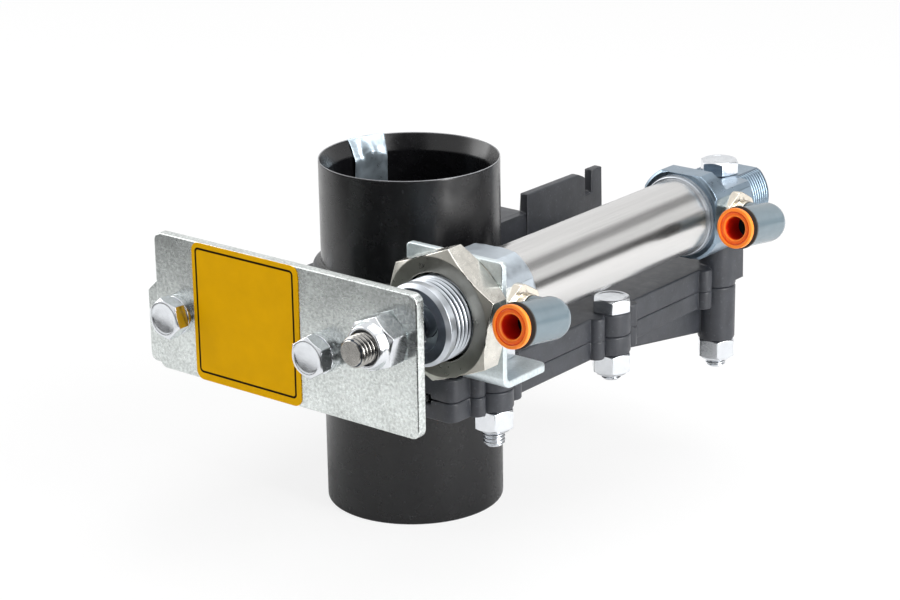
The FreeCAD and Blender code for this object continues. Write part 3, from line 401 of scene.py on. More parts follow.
def label_film():
    """Yellow film with a thin dark line printed round it, and nothing inside the line."""
    colours, sizes = bpy.context.scene.valve_colours, bpy.context.scene.valve_sizes
    finish = Finish("label film")
    left, right, low, top = -0.0175, 0.0164, 0.0523, 0.0864
    radius = sizes.line_corner
    x, _, z = finish.split(finish.place)
    across = abs(x - (left + right) / 2) - ((right - left) / 2 - radius)
    up = abs(z - (low + top) / 2) - ((top - low) / 2 - radius)
    past_across, past_up = across.at_least(0.0), up.at_least(0.0)
    outside = finish.math("SQRT", past_across * past_across + past_up * past_up)
    inside = across.at_least(up).at_most(0.0)
    distance = abs(outside + inside - radius)
    half_line, blur = sizes.line_width / 2, 0.00005
    line = finish.ramp(distance, half_line - blur, half_line + blur, 1.0, 0.0)
    finish.base(finish.mix(line, finish.mottle(colours.label, 0.04, 0.008), colours.line))
    finish.rough(0.36, 0.44, 0.004)
    finish.bump(finish.noise(0.008, 2.0), 0.00006, 0.3)
    return finish.set(specular_ior_level=0.03).material


FINISHES = {}


def finish_named(name):
    if not FINISHES:
        FINISHES.update(make_finishes())
    return FINISHES[name]


# Making meshes

def linked(name, data):
    """A new object in the scene, at the origin."""
    item = bpy.data.objects.new(name, data)
    bpy.context.scene.collection.objects.link(item)
    return item


def mesh_of(name, shape):
    mesh = bpy.data.meshes.new(name)
    shape.to_mesh(mesh)
    shape.free()
    return mesh


def piece_of(name, shape, *finishes):
    """A new piece of this shape, with its finishes in order."""
    item = linked(name, mesh_of(name, shape))
    for finish in finishes:
        item.data.materials.append(finish_named(finish))
    return item


def plain_mesh(item):
    """Turns an object's live modifiers into its mesh."""
    bpy.context.view_layer.update()
    evaluated = item.evaluated_get(bpy.context.evaluated_depsgraph_get())
    mesh = bpy.data.meshes.new_from_object(evaluated)
    item.modifiers.clear()
    item.data = mesh
    mesh.name = item.name
    return item


def level_faces(item):
    """Leaves flat faces looking flat beside their rounded edges."""
    item.modifiers.new("level faces", "WEIGHTED_NORMAL").keep_sharp = True
    return plain_mesh(item)


def round_off(item, rounding):
    """Breaks the sharp edges of a turned piece."""
    item.data.shade_smooth()
    bevel = item.modifiers.new("rounding", "BEVEL")
    bevel.width = rounding
    bevel.segments = 2
    bevel.limit_method = "ANGLE"
    bevel.angle_limit = SHARP
    bevel.use_clamp_overlap = False
    bevel.miter_outer = "MITER_ARC"
    level_faces(item)


def fans_round(vert, sharp):
    """The groups of faces round a vertex that no sharp edge divides."""
    left = set(vert.link_faces)
    while left:
        fan = [left.pop()]
        for face in fan:
            for edge in face.edges:
                if vert in edge.verts and edge not in sharp:
                    beside = left.intersection(edge.link_faces)
                    left -= beside
                    fan.extend(beside)
        yield fan


def set_back(vert, fan, sharp):
    """Which way a group's corner moves, to lie one unit inside both sharp edges that end the group.

    It stays where there are not two such edges, or where they meet in a narrow point.
    """
    narrow = 1.1  # what both edges' ways inward sum to where the edges meet at 67 degrees
    inward = []
    for face in fan:
        for loop in face.loops:
            if loop.edge in sharp and vert in loop.edge.verts:
                along = loop.link_loop_next.vert.co - loop.vert.co
                inward.append(face.normal.cross(along).normalized())
    middle = sum(inward, Vector())
    if len(inward) != 2 or middle.length < narrow:
        return Vector()
    return middle * 2 / middle.length_squared


def rounded_mesh(shape, rounding):
    """A mesh whose sharp edges are replaced with two strips that follow a round."""
    tries, kept_share = 16, 0.6  # how often, and to what share, corners of folded faces go back
    ridge_share = 0.6  # of the corners' mean shift, which puts the ridge between the strips on the round
    sharp = {edge for edge in shape.edges
             if len(edge.link_faces) == 2 and edge.calc_face_angle() > SHARP}
    group, home, shift = {}, [], []
    for vert in shape.verts:
        for fan in fans_round(vert, sharp):
            for face in fan:
                group[face, vert] = len(home)
            home.append(vert)
            shift.append(set_back(vert, fan, sharp) * rounding)

    for attempt in range(tries):
        folded = set()
        for face in shape.faces:
            corners = [group[face, vert] for vert in face.verts]
            places = [home[corner].co + shift[corner] for corner in corners]
            if (places[1] - places[0]).cross(places[2] - places[1]).dot(face.normal) <= 0:
                folded.update(corners)
        for corner in folded:
            shift[corner] *= kept_share

    made = bmesh.new()
    points = [made.verts.new(vert.co + move) for vert, move in zip(home, shift)]
    around = {}
    for corner, vert in enumerate(home):
        around.setdefault(vert, []).append(corner)
    ridge = {}
    for vert, corners in around.items():
        if len(corners) == 1:
            ridge[vert] = points[corners[0]]
        else:
            mean = sum((shift[corner] for corner in corners), Vector()) / len(corners)
            ridge[vert] = made.verts.new(vert.co + mean * ridge_share)
    for face in shape.faces:
        made.faces.new([points[group[face, vert]] for vert in face.verts])
    for edge in sharp:
        for loop in edge.link_loops:
            face, first, second = loop.face, loop.vert, loop.link_loop_next.vert
            ring = (points[group[face, second]], points[group[face, first]], ridge[first], ridge[second])
            ring = list(dict.fromkeys(ring))
            if len(ring) > 2:
                made.faces.new(ring)
    shape.free()
    return made


def finished_copy(node, name, rounding, *finishes):
    """A copy of a CAD node with its sharp edges rounded."""
    shape = bmesh.new()
    shape.from_mesh(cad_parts[node].data)
    bmesh.ops.remove_doubles(shape, verts=shape.verts, dist=1e-6)
    item = piece_of(name, rounded_mesh(shape, rounding), *finishes)
    item.data.shade_smooth()
    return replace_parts(level_faces(item), node)


def slid(profile, index, most):
    """Moves a profile point that lies too far out along its slope, to where the slope is close enough."""
    radius, height = profile[index]
    for other in (index - 1, index + 1):
        if 0 <= other < len(profile) and profile[other][0] < most:
            inner_radius, inner_height = profile[other]
            share = (most - inner_radius) / (radius - inner_radius)
            return most, inner_height + share * (height - inner_height)
    return most, height


def swept(profile, angles, reach=None):
    """Turns a profile of (radius, height) pairs, in millimetres, round Z, held back to flats.

    A profile that starts off the axis is a closed loop.
    """
    shape = bmesh.new()
    rings = []
    for angle in angles:
        ring = []
        for index, (radius, height) in enumerate(profile):
            most = reach(angle, index) if reach else radius
            if radius > most + 1e-9:
                radius, height = slid(profile, index, most)
            across, up = math.cos(math.radians(angle)), math.sin(math.radians(angle))
            ring.append(shape.verts.new((radius * across * MM, radius * up * MM, height * MM)))
        rings.append(ring)
    count = len(profile) if profile[0][0] else len(profile) - 1
    for first, second in zip(rings, rings[1:] + rings[:1]):
        for index in range(count):
            after = (index + 1) % len(profile)
            shape.faces.new((first[index], second[index], second[after], first[after]))
    bmesh.ops.remove_doubles(shape, verts=shape.verts, dist=1e-7)
    bmesh.ops.dissolve_degenerate(shape, dist=1e-8, edges=shape.edges)
    bmesh.ops.recalc_face_normals(shape, faces=shape.faces)
    return shape


def evenly(count):
    return [360 * step / count for step in range(count)]


def hexagon_reach(across):
    """How far the flats of a hexagon lie at each angle."""
    return lambda angle, index: across / 2 / math.cos(math.radians(angle % 60 - 30))


def turned_piece(name, profile, place, finish, rounding=0.15, count=96, reach=None, angles=None):
    """A turned or milled part, at its place, with broken edges."""
    item = piece_of(name, swept(profile, angles or evenly(count), reach), finish)
    if rounding:
        round_off(item, rounding * MM)
    else:
        item.data.shade_smooth()
        item.data.set_sharp_from_angle(angle=math.radians(30))
    item.data.transform(place)
    return item


def hexagon_piece(name, profile, across, place, finish, turn=0.0, rounding=0.12):
    """A hexagonal part with conical ends, whose flats end in arcs."""
    return turned_piece(name, profile, place @ Matrix.Rotation(math.radians(turn), 4, "Z"), finish,
                        rounding, 48, hexagon_reach(across))


# Geometry Nodes trees

def new_tree(name, *sockets):
    """A tree with named inputs, its graph and its inputs' wires by name."""
    tree = bpy.data.node_groups.new(name, "GeometryNodeTree")
    tree.is_modifier = True
    tree.interface.new_socket("Geometry", in_out="INPUT", socket_type="NodeSocketGeometry")
    for label, kind, default in (*sockets, ("Material", "Material", None)):
        socket = tree.interface.new_socket(label, in_out="INPUT", socket_type="NodeSocket" + kind)
        if default is not None:
            socket.default_value = default
    tree.interface.new_socket("Geometry", in_out="OUTPUT", socket_type="NodeSocketGeometry")
    graph = Graph(tree)
    outputs = graph.node("NodeGroupInput").outputs
    return tree, graph, {socket.name: Wire(graph, socket) for socket in outputs}


def end_tree(graph, geometry, material):
    realized = graph.out("GeometryNodeRealizeInstances", {"Geometry": geometry})
    painted = graph.out("GeometryNodeSetMaterial", {"Geometry": realized, "Material": material})
    graph.node("NodeGroupOutput", {"Geometry": painted})


def joined(graph, *parts):
    item = graph.node("GeometryNodeJoinGeometry")
    for part in parts:
        graph.feed(item.inputs[0], part)
    return Wire(graph, item.outputs[0])


def grown(name, tree, mesh, values, finish):
    """The plain mesh that a tree grows on a mesh, as a piece."""
    item = linked(name, mesh)
    growth = item.modifiers.new("growth", "NODES")
    growth.node_group = tree
    values = {"Material": finish_named(finish), **values}
    for socket in tree.interface.items_tree:
        if socket.in_out == "INPUT" and socket.name in values:
            growth[socket.identifier] = values[socket.name]
    return plain_mesh(item)


def wrapped_grid(graph, columns, rows):
    """A grid with its two coordinates, each from 0 to 1."""
    grid = graph.out("GeometryNodeMeshGrid", {"Size X": 1.0, "Size Y": 1.0,
                                              "Vertices X": columns, "Vertices Y": rows})
    x, y, _ = graph.split(graph.out("GeometryNodeInputPosition"))
    return grid, x + 0.5, y + 0.5


def moved_round(graph, mesh, radius, angle, height):
    """Puts a grid's points at a radius, angle and height round Z."""
    place = graph.vector(radius * graph.math("COSINE", angle), radius * graph.math("SINE", angle), height)
    return graph.out("GeometryNodeSetPosition", {"Geometry": mesh, "Position": place})


def thread_tree():
    """A helical thread with tapered ends, a bore and, for the rear eye, a milled flat."""
    tree, graph, size = new_tree(
        "screw thread", ("Major Radius", "Float", 0.003), ("Minor Radius", "Float", 0.0025),
        ("End Radius", "Float", 0.0022), ("Bore Radius", "Float", 0.0), ("Pitch", "Float", 0.001),
        ("Length", "Float", 0.01), ("Flat Distance", "Float", 1.0), ("Flat Angle", "Float", 0.0),
        ("Steps", "Int", 48))
    major, minor, end, bore = (size[name + " Radius"] for name in ("Major", "Minor", "End", "Bore"))
    pitch, long, steps = size["Pitch"], size["Length"], size["Steps"]

    def flat_at(angle):
        """How far out the milled flat lies."""
        return size["Flat Distance"] / graph.math("COSINE", angle - size["Flat Angle"]).at_least(0.05)

    turns = graph.math("CEIL", long / pitch) + 2.0
    strip, along, across = wrapped_grid(graph, turns * steps + 1.0, 7)
    angle = along * turns * math.tau
    height = (pitch * (along * turns + across - 1.0)).at_least(0.0).at_most(long)
    steepness = 1.3  # of the flanks, which leaves the crest flat
    crest = ((1.0 - abs(across * 2.0 - 1.0)) * steepness).at_most(1.0)
    radius = minor + crest * (major - minor)
    radius = radius.at_most(end + (long - height)).at_most(end + height)
    outside = moved_round(graph, strip, radius.at_most(flat_at(angle)), angle, height)

    inner, turn, row = wrapped_grid(graph, steps + 1.0, 4)
    angle = turn * math.tau
    middle = graph.math("COMPARE", row, 0.5, 0.3)
    radius = middle * bore + (1.0 - middle) * end.at_most(flat_at(angle))
    inside = moved_round(graph, inner, radius, angle, graph.math("GREATER_THAN", row, 0.5) * long)

    merged = graph.out("GeometryNodeMergeByDistance", {"Geometry": joined(graph, outside, inside),
                                                       "Distance": 1e-6})
    end_tree(graph, merged, size["Material"])
    return tree


def thread_piece(name, place, finish, major, minor, end, pitch, long, bore=0.0, flat=1000.0,
                 flat_angle=0.0, steps=48, groove=None):
    """A thread along a frame's Z, whose grooves may be painted darker, as painted shade.

    All sizes but the pitch are in millimetres.
    """
    values = {"Major Radius": major * MM, "Minor Radius": minor * MM, "End Radius": end * MM,
              "Bore Radius": bore * MM, "Pitch": pitch, "Length": long * MM, "Flat Distance": flat * MM,
              "Flat Angle": flat_angle, "Steps": steps}
    item = grown(name, tree_named("thread"), bpy.data.meshes.new(name), values, finish)
    shape = bmesh.new()
    shape.from_mesh(item.data)
    bmesh.ops.dissolve_degenerate(shape, dist=1e-8, edges=shape.edges)
    loose = [edge for edge in shape.edges if not edge.link_faces]
    bmesh.ops.delete(shape, geom=loose, context="EDGES")
    bmesh.ops.recalc_face_normals(shape, faces=shape.faces)
    shape.to_mesh(item.data)
    shape.free()
    item.data.shade_smooth()
    item.data.set_sharp_from_angle(angle=math.radians(38))
    if groove:
        # The groove's painted shade lies between the bore and the flanks' lower third, and leaves out the
        # thread's ends.
        item.data.materials.append(finish_named(groove))
        foot, top = minor * 0.98 * MM, (major * 0.3 + minor * 0.7) * MM
        for face in item.data.polygons:
            if foot < face.center.xy.length < top and abs(face.normal.z) < 0.95:
                face.material_index = len(item.data.materials) - 1
    item.data.transform(place)
    return item


def point_number(graph, name):
    """A number that each point of the mesh carries."""
    return graph.out("GeometryNodeInputNamedAttribute", {"Name": name}, data_type="FLOAT")


def set_on(graph, points, thing, scale=(1, 1, 1)):
    """A thing on each point, turned by the point's own turn."""
    spin = graph.vector(z=point_number(graph, "turn"))
    return graph.out("GeometryNodeInstanceOnPoints", {"Points": points, "Instance": thing,
                                                      "Rotation": spin, "Scale": scale})


def pattern_geometry(graph, pattern):
    return graph.out("GeometryNodeObjectInfo", {"Object": pattern, "As Instance": True}, "Geometry")


def pattern_tree():
    """A pattern on each point."""
    tree, graph, size = new_tree("fasteners at points", ("Pattern", "Object", None))
    spots = set_on(graph, size["Geometry"], pattern_geometry(graph, size["Pattern"]))
    end_tree(graph, spots, size["Material"])
    return tree


def bolt_tree():
    """A bolt at each point: head on the point, shank under it, threaded tip at its own length."""
    tree, graph, size = new_tree(
        "bolts at points", ("Head", "Object", None), ("Tip", "Object", None),
        ("Shank Radius", "Float", 0.003), ("Tip Length", "Float", 0.008))
    points = size["Geometry"]
    head, tip = (pattern_geometry(graph, size[name]) for name in ("Head", "Tip"))
    long = point_number(graph, "length")
    ends = graph.out("GeometryNodeSetPosition", {"Geometry": points, "Offset": graph.vector(z=long * -1.0)})
    rod = graph.out("GeometryNodeMeshCylinder", {"Vertices": 32, "Radius": size["Shank Radius"],
                                                 "Depth": 1.0})
    rod = graph.out("GeometryNodeTransform", {"Geometry": rod, "Translation": (0, 0, -0.5)})
    shank = set_on(graph, points, rod, graph.vector(1.0, 1.0, long - size["Tip Length"]))
    bolts = joined(graph, set_on(graph, points, head), shank, set_on(graph, ends, tip))
    end_tree(graph, bolts, size["Material"])
    return tree


def point_mesh(name, points, **attributes):
    """Bare points in millimetres, with one number each for every attribute."""
    mesh = bpy.data.meshes.new(name)
    mesh.from_pydata([Vector(point) * MM for point in points], [], [])
    for key, values in attributes.items():
        mesh.attributes.new(key, "FLOAT", "POINT").data.foreach_set("value", values)
    return mesh


TREES = {}


def tree_named(name):
    makers = {"thread": thread_tree, "pattern": pattern_tree, "bolt": bolt_tree}
    if name not in TREES:
        TREES[name] = makers[name]()
    return TREES[name]


def at_rest(item, body, slot, *nodes):
    """Ties a piece to its body and to the CAD nodes that it stands for. The slot is not used."""
    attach(item, body)
    if nodes:
        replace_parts(item, *nodes)


def carried(node, finish):
    """Leaves a CAD node as it is and gives it a finish."""
    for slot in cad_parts[node].material_slots:
        slot.material = finish_named(finish)


# Patterns

def bolt_head():
    """A hexagonal head with a shallow dish in its top."""
    profile = [(0, 0), (4.7, 0), (5.9, 0.3), (5.9, 3.35), (4.75, 4.0), (4.1, 4.0), (3.5, 3.72), (0, 3.66)]
    return hexagon_piece("bolt_head_pattern", profile, 10.0, UPRIGHT, "zinc", rounding=0.14)


def bolt_tip():
    pitch = bpy.context.scene.valve_sizes.bolt_pitch
    return thread_piece("bolt_tip_pattern", UPRIGHT, "thread", 3.0, 2.45, 2.2, pitch, 9.0, steps=32)


def plain_nut_profile(bore, mouth, flat, corner, bevel, height):
    """A nut that is the same at both ends."""
    end = [(bore, 0.5), (mouth, 0), (flat, 0), (corner, bevel)]
    return end + [(radius, height - depth) for radius, depth in reversed(end)]


def locking_nut_profile(thread, across, hexagon, height):
    """A nut whose round collar is rolled in over its locking ring."""
    corner = across * 0.59
    flat = across * 0.475
    dome = height - hexagon
    return [(thread - 0.25, 0.6), (thread + 0.35, 0), (flat, 0), (corner, (corner - flat) * 0.55),
            (corner, hexagon - (corner - flat) * 0.55), (flat, hexagon), (flat - 0.12, hexagon + dome * 0.2),
            (flat - 0.4, hexagon + dome * 0.65), (flat - 0.75, height - dome * 0.1), (flat - 1.0, height),
            (thread + 0.6, height - 0.15), (thread + 0.5, height - 0.9), (thread - 0.25, height - 0.9)]


def remove(*items):
    for item in items:
        bpy.data.objects.remove(item)


# Operators

class Build(bpy.types.Operator):
    bl_options = {"REGISTER", "UNDO"}

    def execute(self, context):
        self.build(context.scene.valve_sizes)
        return {"FINISHED"}


class VALVE_OT_housing(Build):
    """Both moulded halves of the housing, with the gate's seals between them"""

    bl_idname = "valve.housing"
    bl_label = "Housing"

    def build(self, sizes):
        for half in ("upper", "lower"):
            item = finished_copy(half + "_housing", half + "_half", sizes.moulded_edge,
                                 "housing", "spigot", "lip")
            for face in item.data.polygons:
                off_middle = abs(face.center.z - PARTING)
                # The spigots' walls take the darker plastic, painted shade.
                smooth = face.center.xy.length < SPIGOT_RADIUS and off_middle > SPIGOT_FROM
                # Faces in the band at each spigot's end take the pale lip finish, a painted highlight.
                face.material_index = 2 if off_middle > SPIGOT_LENGTH - LIP_HIGHLIGHT else int(smooth)
            at_rest(item, "housing", "housing_plastic")
            carried(half + "_gate_seal", "rubber")


class VALVE_OT_gate(Build):
    """The gate's blade with the plate on its front and the plain yellow label"""

    bl_idname = "valve.gate"
    bl_label = "Gate"

    def build(self, sizes):
        for node, name, rounding, finish, slot in (
                ("gate_blade", "blade", sizes.sheet_edge, "plate", "sheet_steel"),
                ("front_plate", "plate", sizes.sheet_edge, "plate", "sheet_steel"),
                ("front_label", "label", sizes.label_edge, "label", "label_film")):
            at_rest(finished_copy(node, name, rounding, finish), "gate", slot)


class VALVE_OT_fasteners(Build):
    """Bolts, washers and nuts of the housing and of the plate"""

    bl_idname = "valve.fasteners"
    bl_label = "Bolts and nuts"

    # Places in millimetres, row by row from the front. The right-hand rear one is the cylinder's bolt.
    PLACES = [(side * 47.4, row) for row in (-24.0, 29.2, 82.4) for side in (-1, 1)]
    SEATS = [56.0, 58.0, 56.0, 56.0, 56.0]
    LENGTHS = [20.0, 24.7, 20.0, 20.0, 35.0]
    NUT_DROPS = [5.5] * 4 + [16.5] * 2  # nuts' seats below the parting
    PLATE_PAIR = [(-25.2, 0, 0), (25.2, 0, 0)]
    TIP_SHOWN = 0.0088  # of the tip's thread, whose other end lies in the shank

    def build(self, sizes):
        head, tip = bolt_head(), bolt_tip()
        on_washers = Matrix.Translation((0, PLATE_FRONT - WASHER, SCREW_Z))
        seated = [(*place, seat) for place, seat in zip(self.PLACES, self.SEATS)]
        for name, node, body, spots, lengths, turns, place in (
                ("housing_screws", "housing_bolts", "housing", seated, self.LENGTHS,
                 (17, 34, 51, 8, 25), UPRIGHT),
                ("eye_screw", "cylinder_bolt", "housing", [(*self.PLACES[-1], 83.1)], [59.0], (12,), UPRIGHT),
                ("plate_screws", "plate_bolts", "gate", self.PLATE_PAIR, [16.0, 16.0], (44, 32),
                 on_washers @ Matrix.Rotation(math.pi / 2, 4, "X"))):
            mesh = point_mesh(name, spots, length=[value * MM for value in lengths],
                              turn=[math.radians(turn) for turn in turns])
            parts = {"Head": head, "Tip": tip, "Tip Length": self.TIP_SHOWN}
            item = grown(name, tree_named("bolt"), mesh, parts, "zinc")
            item.data.transform(place)
            at_rest(item, body, "fastener_steel", node)

        low = hexagon_piece("nut_pattern", locking_nut_profile(3.0, 10.0, 5.7, 6.5), 10.0, UPRIGHT, "zinc")
        plain = hexagon_piece("plain_nut_pattern", plain_nut_profile(2.8, 3.3, 4.7, 5.9, 0.6, 5.2), 10.0,
                              UPRIGHT, "zinc")
        insert = turned_piece("insert_pattern", [(2.7, 4.6), (3.6, 4.6), (3.6, 6.0), (2.9, 6.0)], UPRIGHT,
                              "nylon", 0, 32)
        washer = turned_piece("washer_pattern", [(3.05, 0), (5.35, 0), (5.35, 1.6), (3.05, 1.6)], UPRIGHT,
                              "zinc", 0.2, 48)

        under = [(x, -y, drop - PARTING / MM) for (x, y), drop in zip(self.PLACES, self.NUT_DROPS)]
        spins = [math.radians(turn) for turn in (51, 49, 53, 50, 48, 52)]
        upside_down = Matrix.Rotation(math.pi, 4, "X")
        backwards = Matrix.Rotation(-math.pi / 2, 4, "X")
        behind = Matrix.Translation((0, PLATE_BACK + FLANGE, SCREW_Z)) @ backwards
        for name, node, body, spots, turns, pattern, finish, place in (
                ("housing_lock_nuts", "housing_nuts", "housing", under, spins, low, "zinc", upside_down),
                ("housing_nut_inserts", "housing_nuts", "housing", under, spins, insert, "nylon",
                 upside_down),
                ("plate_back_nuts", "plate_nuts", "gate", self.PLATE_PAIR, [0.2, 0.5], plain, "zinc", behind),
                ("plate_flat_washers", "plate_washers", "gate", self.PLATE_PAIR, [0.0, 0.0], washer, "zinc",
                 on_washers @ backwards)):
            mesh = point_mesh(name, spots, turn=turns)
            item = grown(name, tree_named("pattern"), mesh, {"Pattern": pattern}, finish)
            item.data.transform(place)
            at_rest(item, body, "fastener_steel", node)
        remove(head, tip, low, plain, insert, washer)


class VALVE_OT_cylinder(Build):
    """The air cylinder: heads, tube, threads, nuts and piston rod"""

    bl_idname = "valve.cylinder"
    bl_label = "Air cylinder"

    def build(self, sizes):
        square = square_angles()
        block = turned_piece(
            "front_head_block", [(4.05, -51.5), (7.2, -51.5), (7.2, -36.9), (12.7, -36.9), (13.9, -36.2),
                                 (13.9, -22.7), (13.2, -22.0), (11.8, -22.0), (11.8, -20.3), (10.0, -20.3),
                                 (10.0, -13.0), (6.0, -13.0), (6.0, -31.0), (4.05, -31.0)],
            REARWARD, "front head", reach=square_reach(), angles=square)
        nose = thread_piece("nose_thread", shifted(FORWARD, 0.0369), "nose", 11.0, 10.3, 10.2,
                            sizes.nose_pitch, 15.4, bore=7.2, steps=96, groove="groove")
        band = turned_piece("nose_band", [(9.9, -55.5), (10.95, -54.5), (10.95, -52.4), (10.6, -52.0),
                                          (9.9, -52.0)], REARWARD, "nose", 0.08)
        face = turned_piece("nose_face", [(7.2, -55.45), (9.9, -55.45), (9.9, -52.0), (7.2, -52.0)],
                            REARWARD, "nose face", 0.1)
        for item in (block, nose, band, face):
            at_rest(item, "housing", "head_steel", "front_head")

        # The rear block has the point where the eye's flat starts twice, once on each side of the step.
        block = turned_piece(
            "rear_head_block", [(0, 68.0), (3.2, 68.0), (3.2, 56.0), (10.0, 56.0), (10.0, 62.0), (13.1, 62.0),
                                (13.9, 62.6), (13.9, 68.5), (13.9, 68.5), (13.9, 80.2), (13.1, 81.0),
                                (0, 81.0)],
            REARWARD, "rear head", reach=square_reach(eye_from=8), angles=square)
        ring = turned_piece("rear_ring", [(10.0, 60.3), (11.3, 60.3), (11.5, 60.5), (11.5, 60.9),
                                          (11.0, 61.1), (11.0, 61.25), (11.8, 61.4), (11.8, 62.0),
                                          (10.0, 62.0)], REARWARD, "nose", 0)
        stub = thread_piece("rear_thread", shifted(REARWARD, 0.0805), "stub", 11.0, 10.3, 10.0,
                            sizes.stub_pitch, 12.5, flat=EYE_FLAT, flat_angle=-math.pi / 2,
                            steps=96, groove="stub groove")
        for item in (block, ring, stub):
            at_rest(item, "housing", "head_steel", "rear_head")

        tube = turned_piece("tube", [(10.02, -20.3), (10.6, -20.3), (10.75, -19.9), (10.75, -19.6),
                                     (10.75, 59.6), (10.75, 59.9), (10.6, 60.3), (10.02, 60.3)],
                            REARWARD, "tube", 0, 128)
        at_rest(tube, "housing", "tube_steel", "cylinder_tube")
        self.rod(sizes)
        for node, finish in (("rod_bush", "bronze"), ("rod_seal", "rubber"), ("piston", "aluminium"),
                             ("piston_seals", "rubber")):
            carried(node, finish)

    def rod(self, sizes):
        """The piston rod, whose front end is threaded, with its two nuts."""
        rod = turned_piece("rod", [(0, -58.0), (3.3, -58.0), (4.0, -57.3), (4.0, 55.5), (0, 55.5)],
                           REARWARD, "chrome", 0, 48)
        end = thread_piece("rod_thread", shifted(FORWARD, 0.0575), "dark steel", 4.0, 3.35, 3.1,
                           sizes.rod_pitch, 22.7, groove="groove")
        for item in (rod, end):
            at_rest(item, "gate", "rod_steel", "piston_rod")
        on_plate = shifted(FORWARD, -PLATE_FRONT)
        lock = hexagon_piece("rod_locking_nut", locking_nut_profile(4.0, 13.0, 6.5, 9.2), 13.0, on_plate,
                             "zinc", 21, 0.2)
        insert = turned_piece("rod_nut_insert", [(3.7, 6.6), (4.9, 6.6), (4.9, 8.4), (4.0, 8.4)], on_plate,
                              "nylon", 0, 48)
        for item in (lock, insert):
            at_rest(item, "gate", "fastener_steel", "rod_lock_nut")
        jam = hexagon_piece("rod_thin_nut", plain_nut_profile(3.8, 4.4, 6.1, 7.7, 0.8, 4.0), 13.0,
                            shifted(REARWARD, PLATE_BACK), "zinc", 8, 0.15)
        at_rest(jam, "gate", "fastener_steel", "rod_jam_nut")


def square_angles():
    """Angles round a square head, with one at every edge of its flats."""
    edges = [0, 9, 18, 27.763, 31, 36, 40, 45, 50, 54, 59, 62.237, 72, 81]
    angles = [90 * side + edge for side in range(4) for edge in edges]
    eye = math.degrees(math.acos(EYE_FLAT / HEAD_RADIUS))
    return sorted({*angles, 270 - eye, 270 + eye})


def square_reach(eye_from=None):
    """How far the four milled flats lie, and the eye's deeper flat from a point of the profile on."""
    def reach(angle, index):
        most = HEAD_FLAT / math.cos(math.radians((angle + 45) % 90 - 45))
        facing = math.cos(math.radians(angle - 270))
        if eye_from is not None and index >= eye_from and facing > 0.05:
            most = min(most, EYE_FLAT / facing)
        return most
    return reach


class VALVE_OT_bracket(Build):
    """The angle that holds the cylinder's nose, and the thin nut on it"""

    bl_idname = "valve.bracket"
    bl_label = "Bracket and nose nut"

    def build(self, sizes):
        bracket = finished_copy("cylinder_bracket", "bracket", sizes.bracket_edge, "bracket")
        at_rest(bracket, "housing", "sheet_steel")
        front = shifted(FORWARD, -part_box("cylinder_bracket")[0].y)
        nut = hexagon_piece("nose_thin_nut", [(10.8, 0.8), (11.6, 0), (15.96, 0), (19.0, 1.75), (19.0, 6.35),
                                              (15.96, 8.1), (11.95, 8.1), (11.75, 7.9), (11.75, 5.6),
                                              (10.9, 4.9)], 32.0, front, "nickel", 21, 0.2)
        # The face that looks to the front is rougher, and painted darker than the flats as painted shade.
        nut.data.materials.append(finish_named("nickel face"))
        for face in nut.data.polygons:
            face.material_index = int(face.normal.y < -0.7)
        at_rest(nut, "housing", "nose_nut_steel", "nose_nut")


class VALVE_OT_elbows(Build):
    """The push-in elbows on the cylinder's two ports"""

    bl_idname = "valve.elbows"
    bl_label = "Elbow fittings"

    # The collar's profile from its inner end, out over the rim and back through the bore.
    COLLAR = [(3.1, 9.9), (4.42, 9.9), (4.42, 15.8), (5.35, 15.8), (5.58, 15.9), (5.65, 16.15), (5.65, 16.9),
              (5.55, 17.12), (5.35, 17.2), (4.85, 17.2), (4.72, 17.1), (4.68, 16.7), (4.5, 16.65),
              (4.38, 16.8), (4.25, 16.9), (3.6, 16.85), (3.3, 16.75), (3.15, 16.45), (3.1, 16.0)]
    RING = [(4.5, 14.1), (5.9, 14.1), (6.0, 14.2), (6.0, 14.6), (5.9, 14.7), (4.5, 14.7)]

    def build(self, sizes):
        for side, port in PORTS.items():
            out = (Matrix.Translation((BARREL_X, port, AXIS_Z)) @ Matrix.Rotation(-BARREL_TILT, 4, "X")
                   @ Matrix.Rotation(math.pi / 2, 4, "X"))
            stem = finished_copy(side + "_elbow_stem", side + "_stem", sizes.machined_edge, "stem")
            at_rest(stem, "housing", "stem_metal")
            barrel = finished_copy(side + "_elbow_body", side + "_barrel", sizes.barrel_edge, "barrel")
            at_rest(barrel, side + "_elbow", "barrel_plastic")
            ring = turned_piece(side + "_dark_ring", self.RING, out, "grip", 0, 64)
            at_rest(ring, side + "_elbow", "grip_plastic", side + "_grip_ring")
            carried(side + "_tube_seal", "rubber")
            collar = turned_piece(side + "_collar", self.COLLAR, UPRIGHT, "collar", 0, 64)
            # The raised rim and the lip round the bore are painted lighter, as a painted highlight, and the
            # bore itself is painted darker, as painted shade.
            collar.data.materials.append(finish_named("collar_rim"))
            collar.data.materials.append(finish_named("collar_bore"))
            for face in collar.data.polygons:
                radius, height = face.center.xy.length / MM, face.center.z / MM
                if radius > 4.7 and height > 15.75 or radius < 3.7 and height > 16.65:
                    face.material_index = 1
                # The bore's wall takes the darker copy, painted shade.
                elif radius < 3.2:
                    face.material_index = 2
            collar.data.transform(out)
            collar.visible_glossy = False
            at_rest(collar, side + "_collar", "collar_plastic", side + "_release_collar")


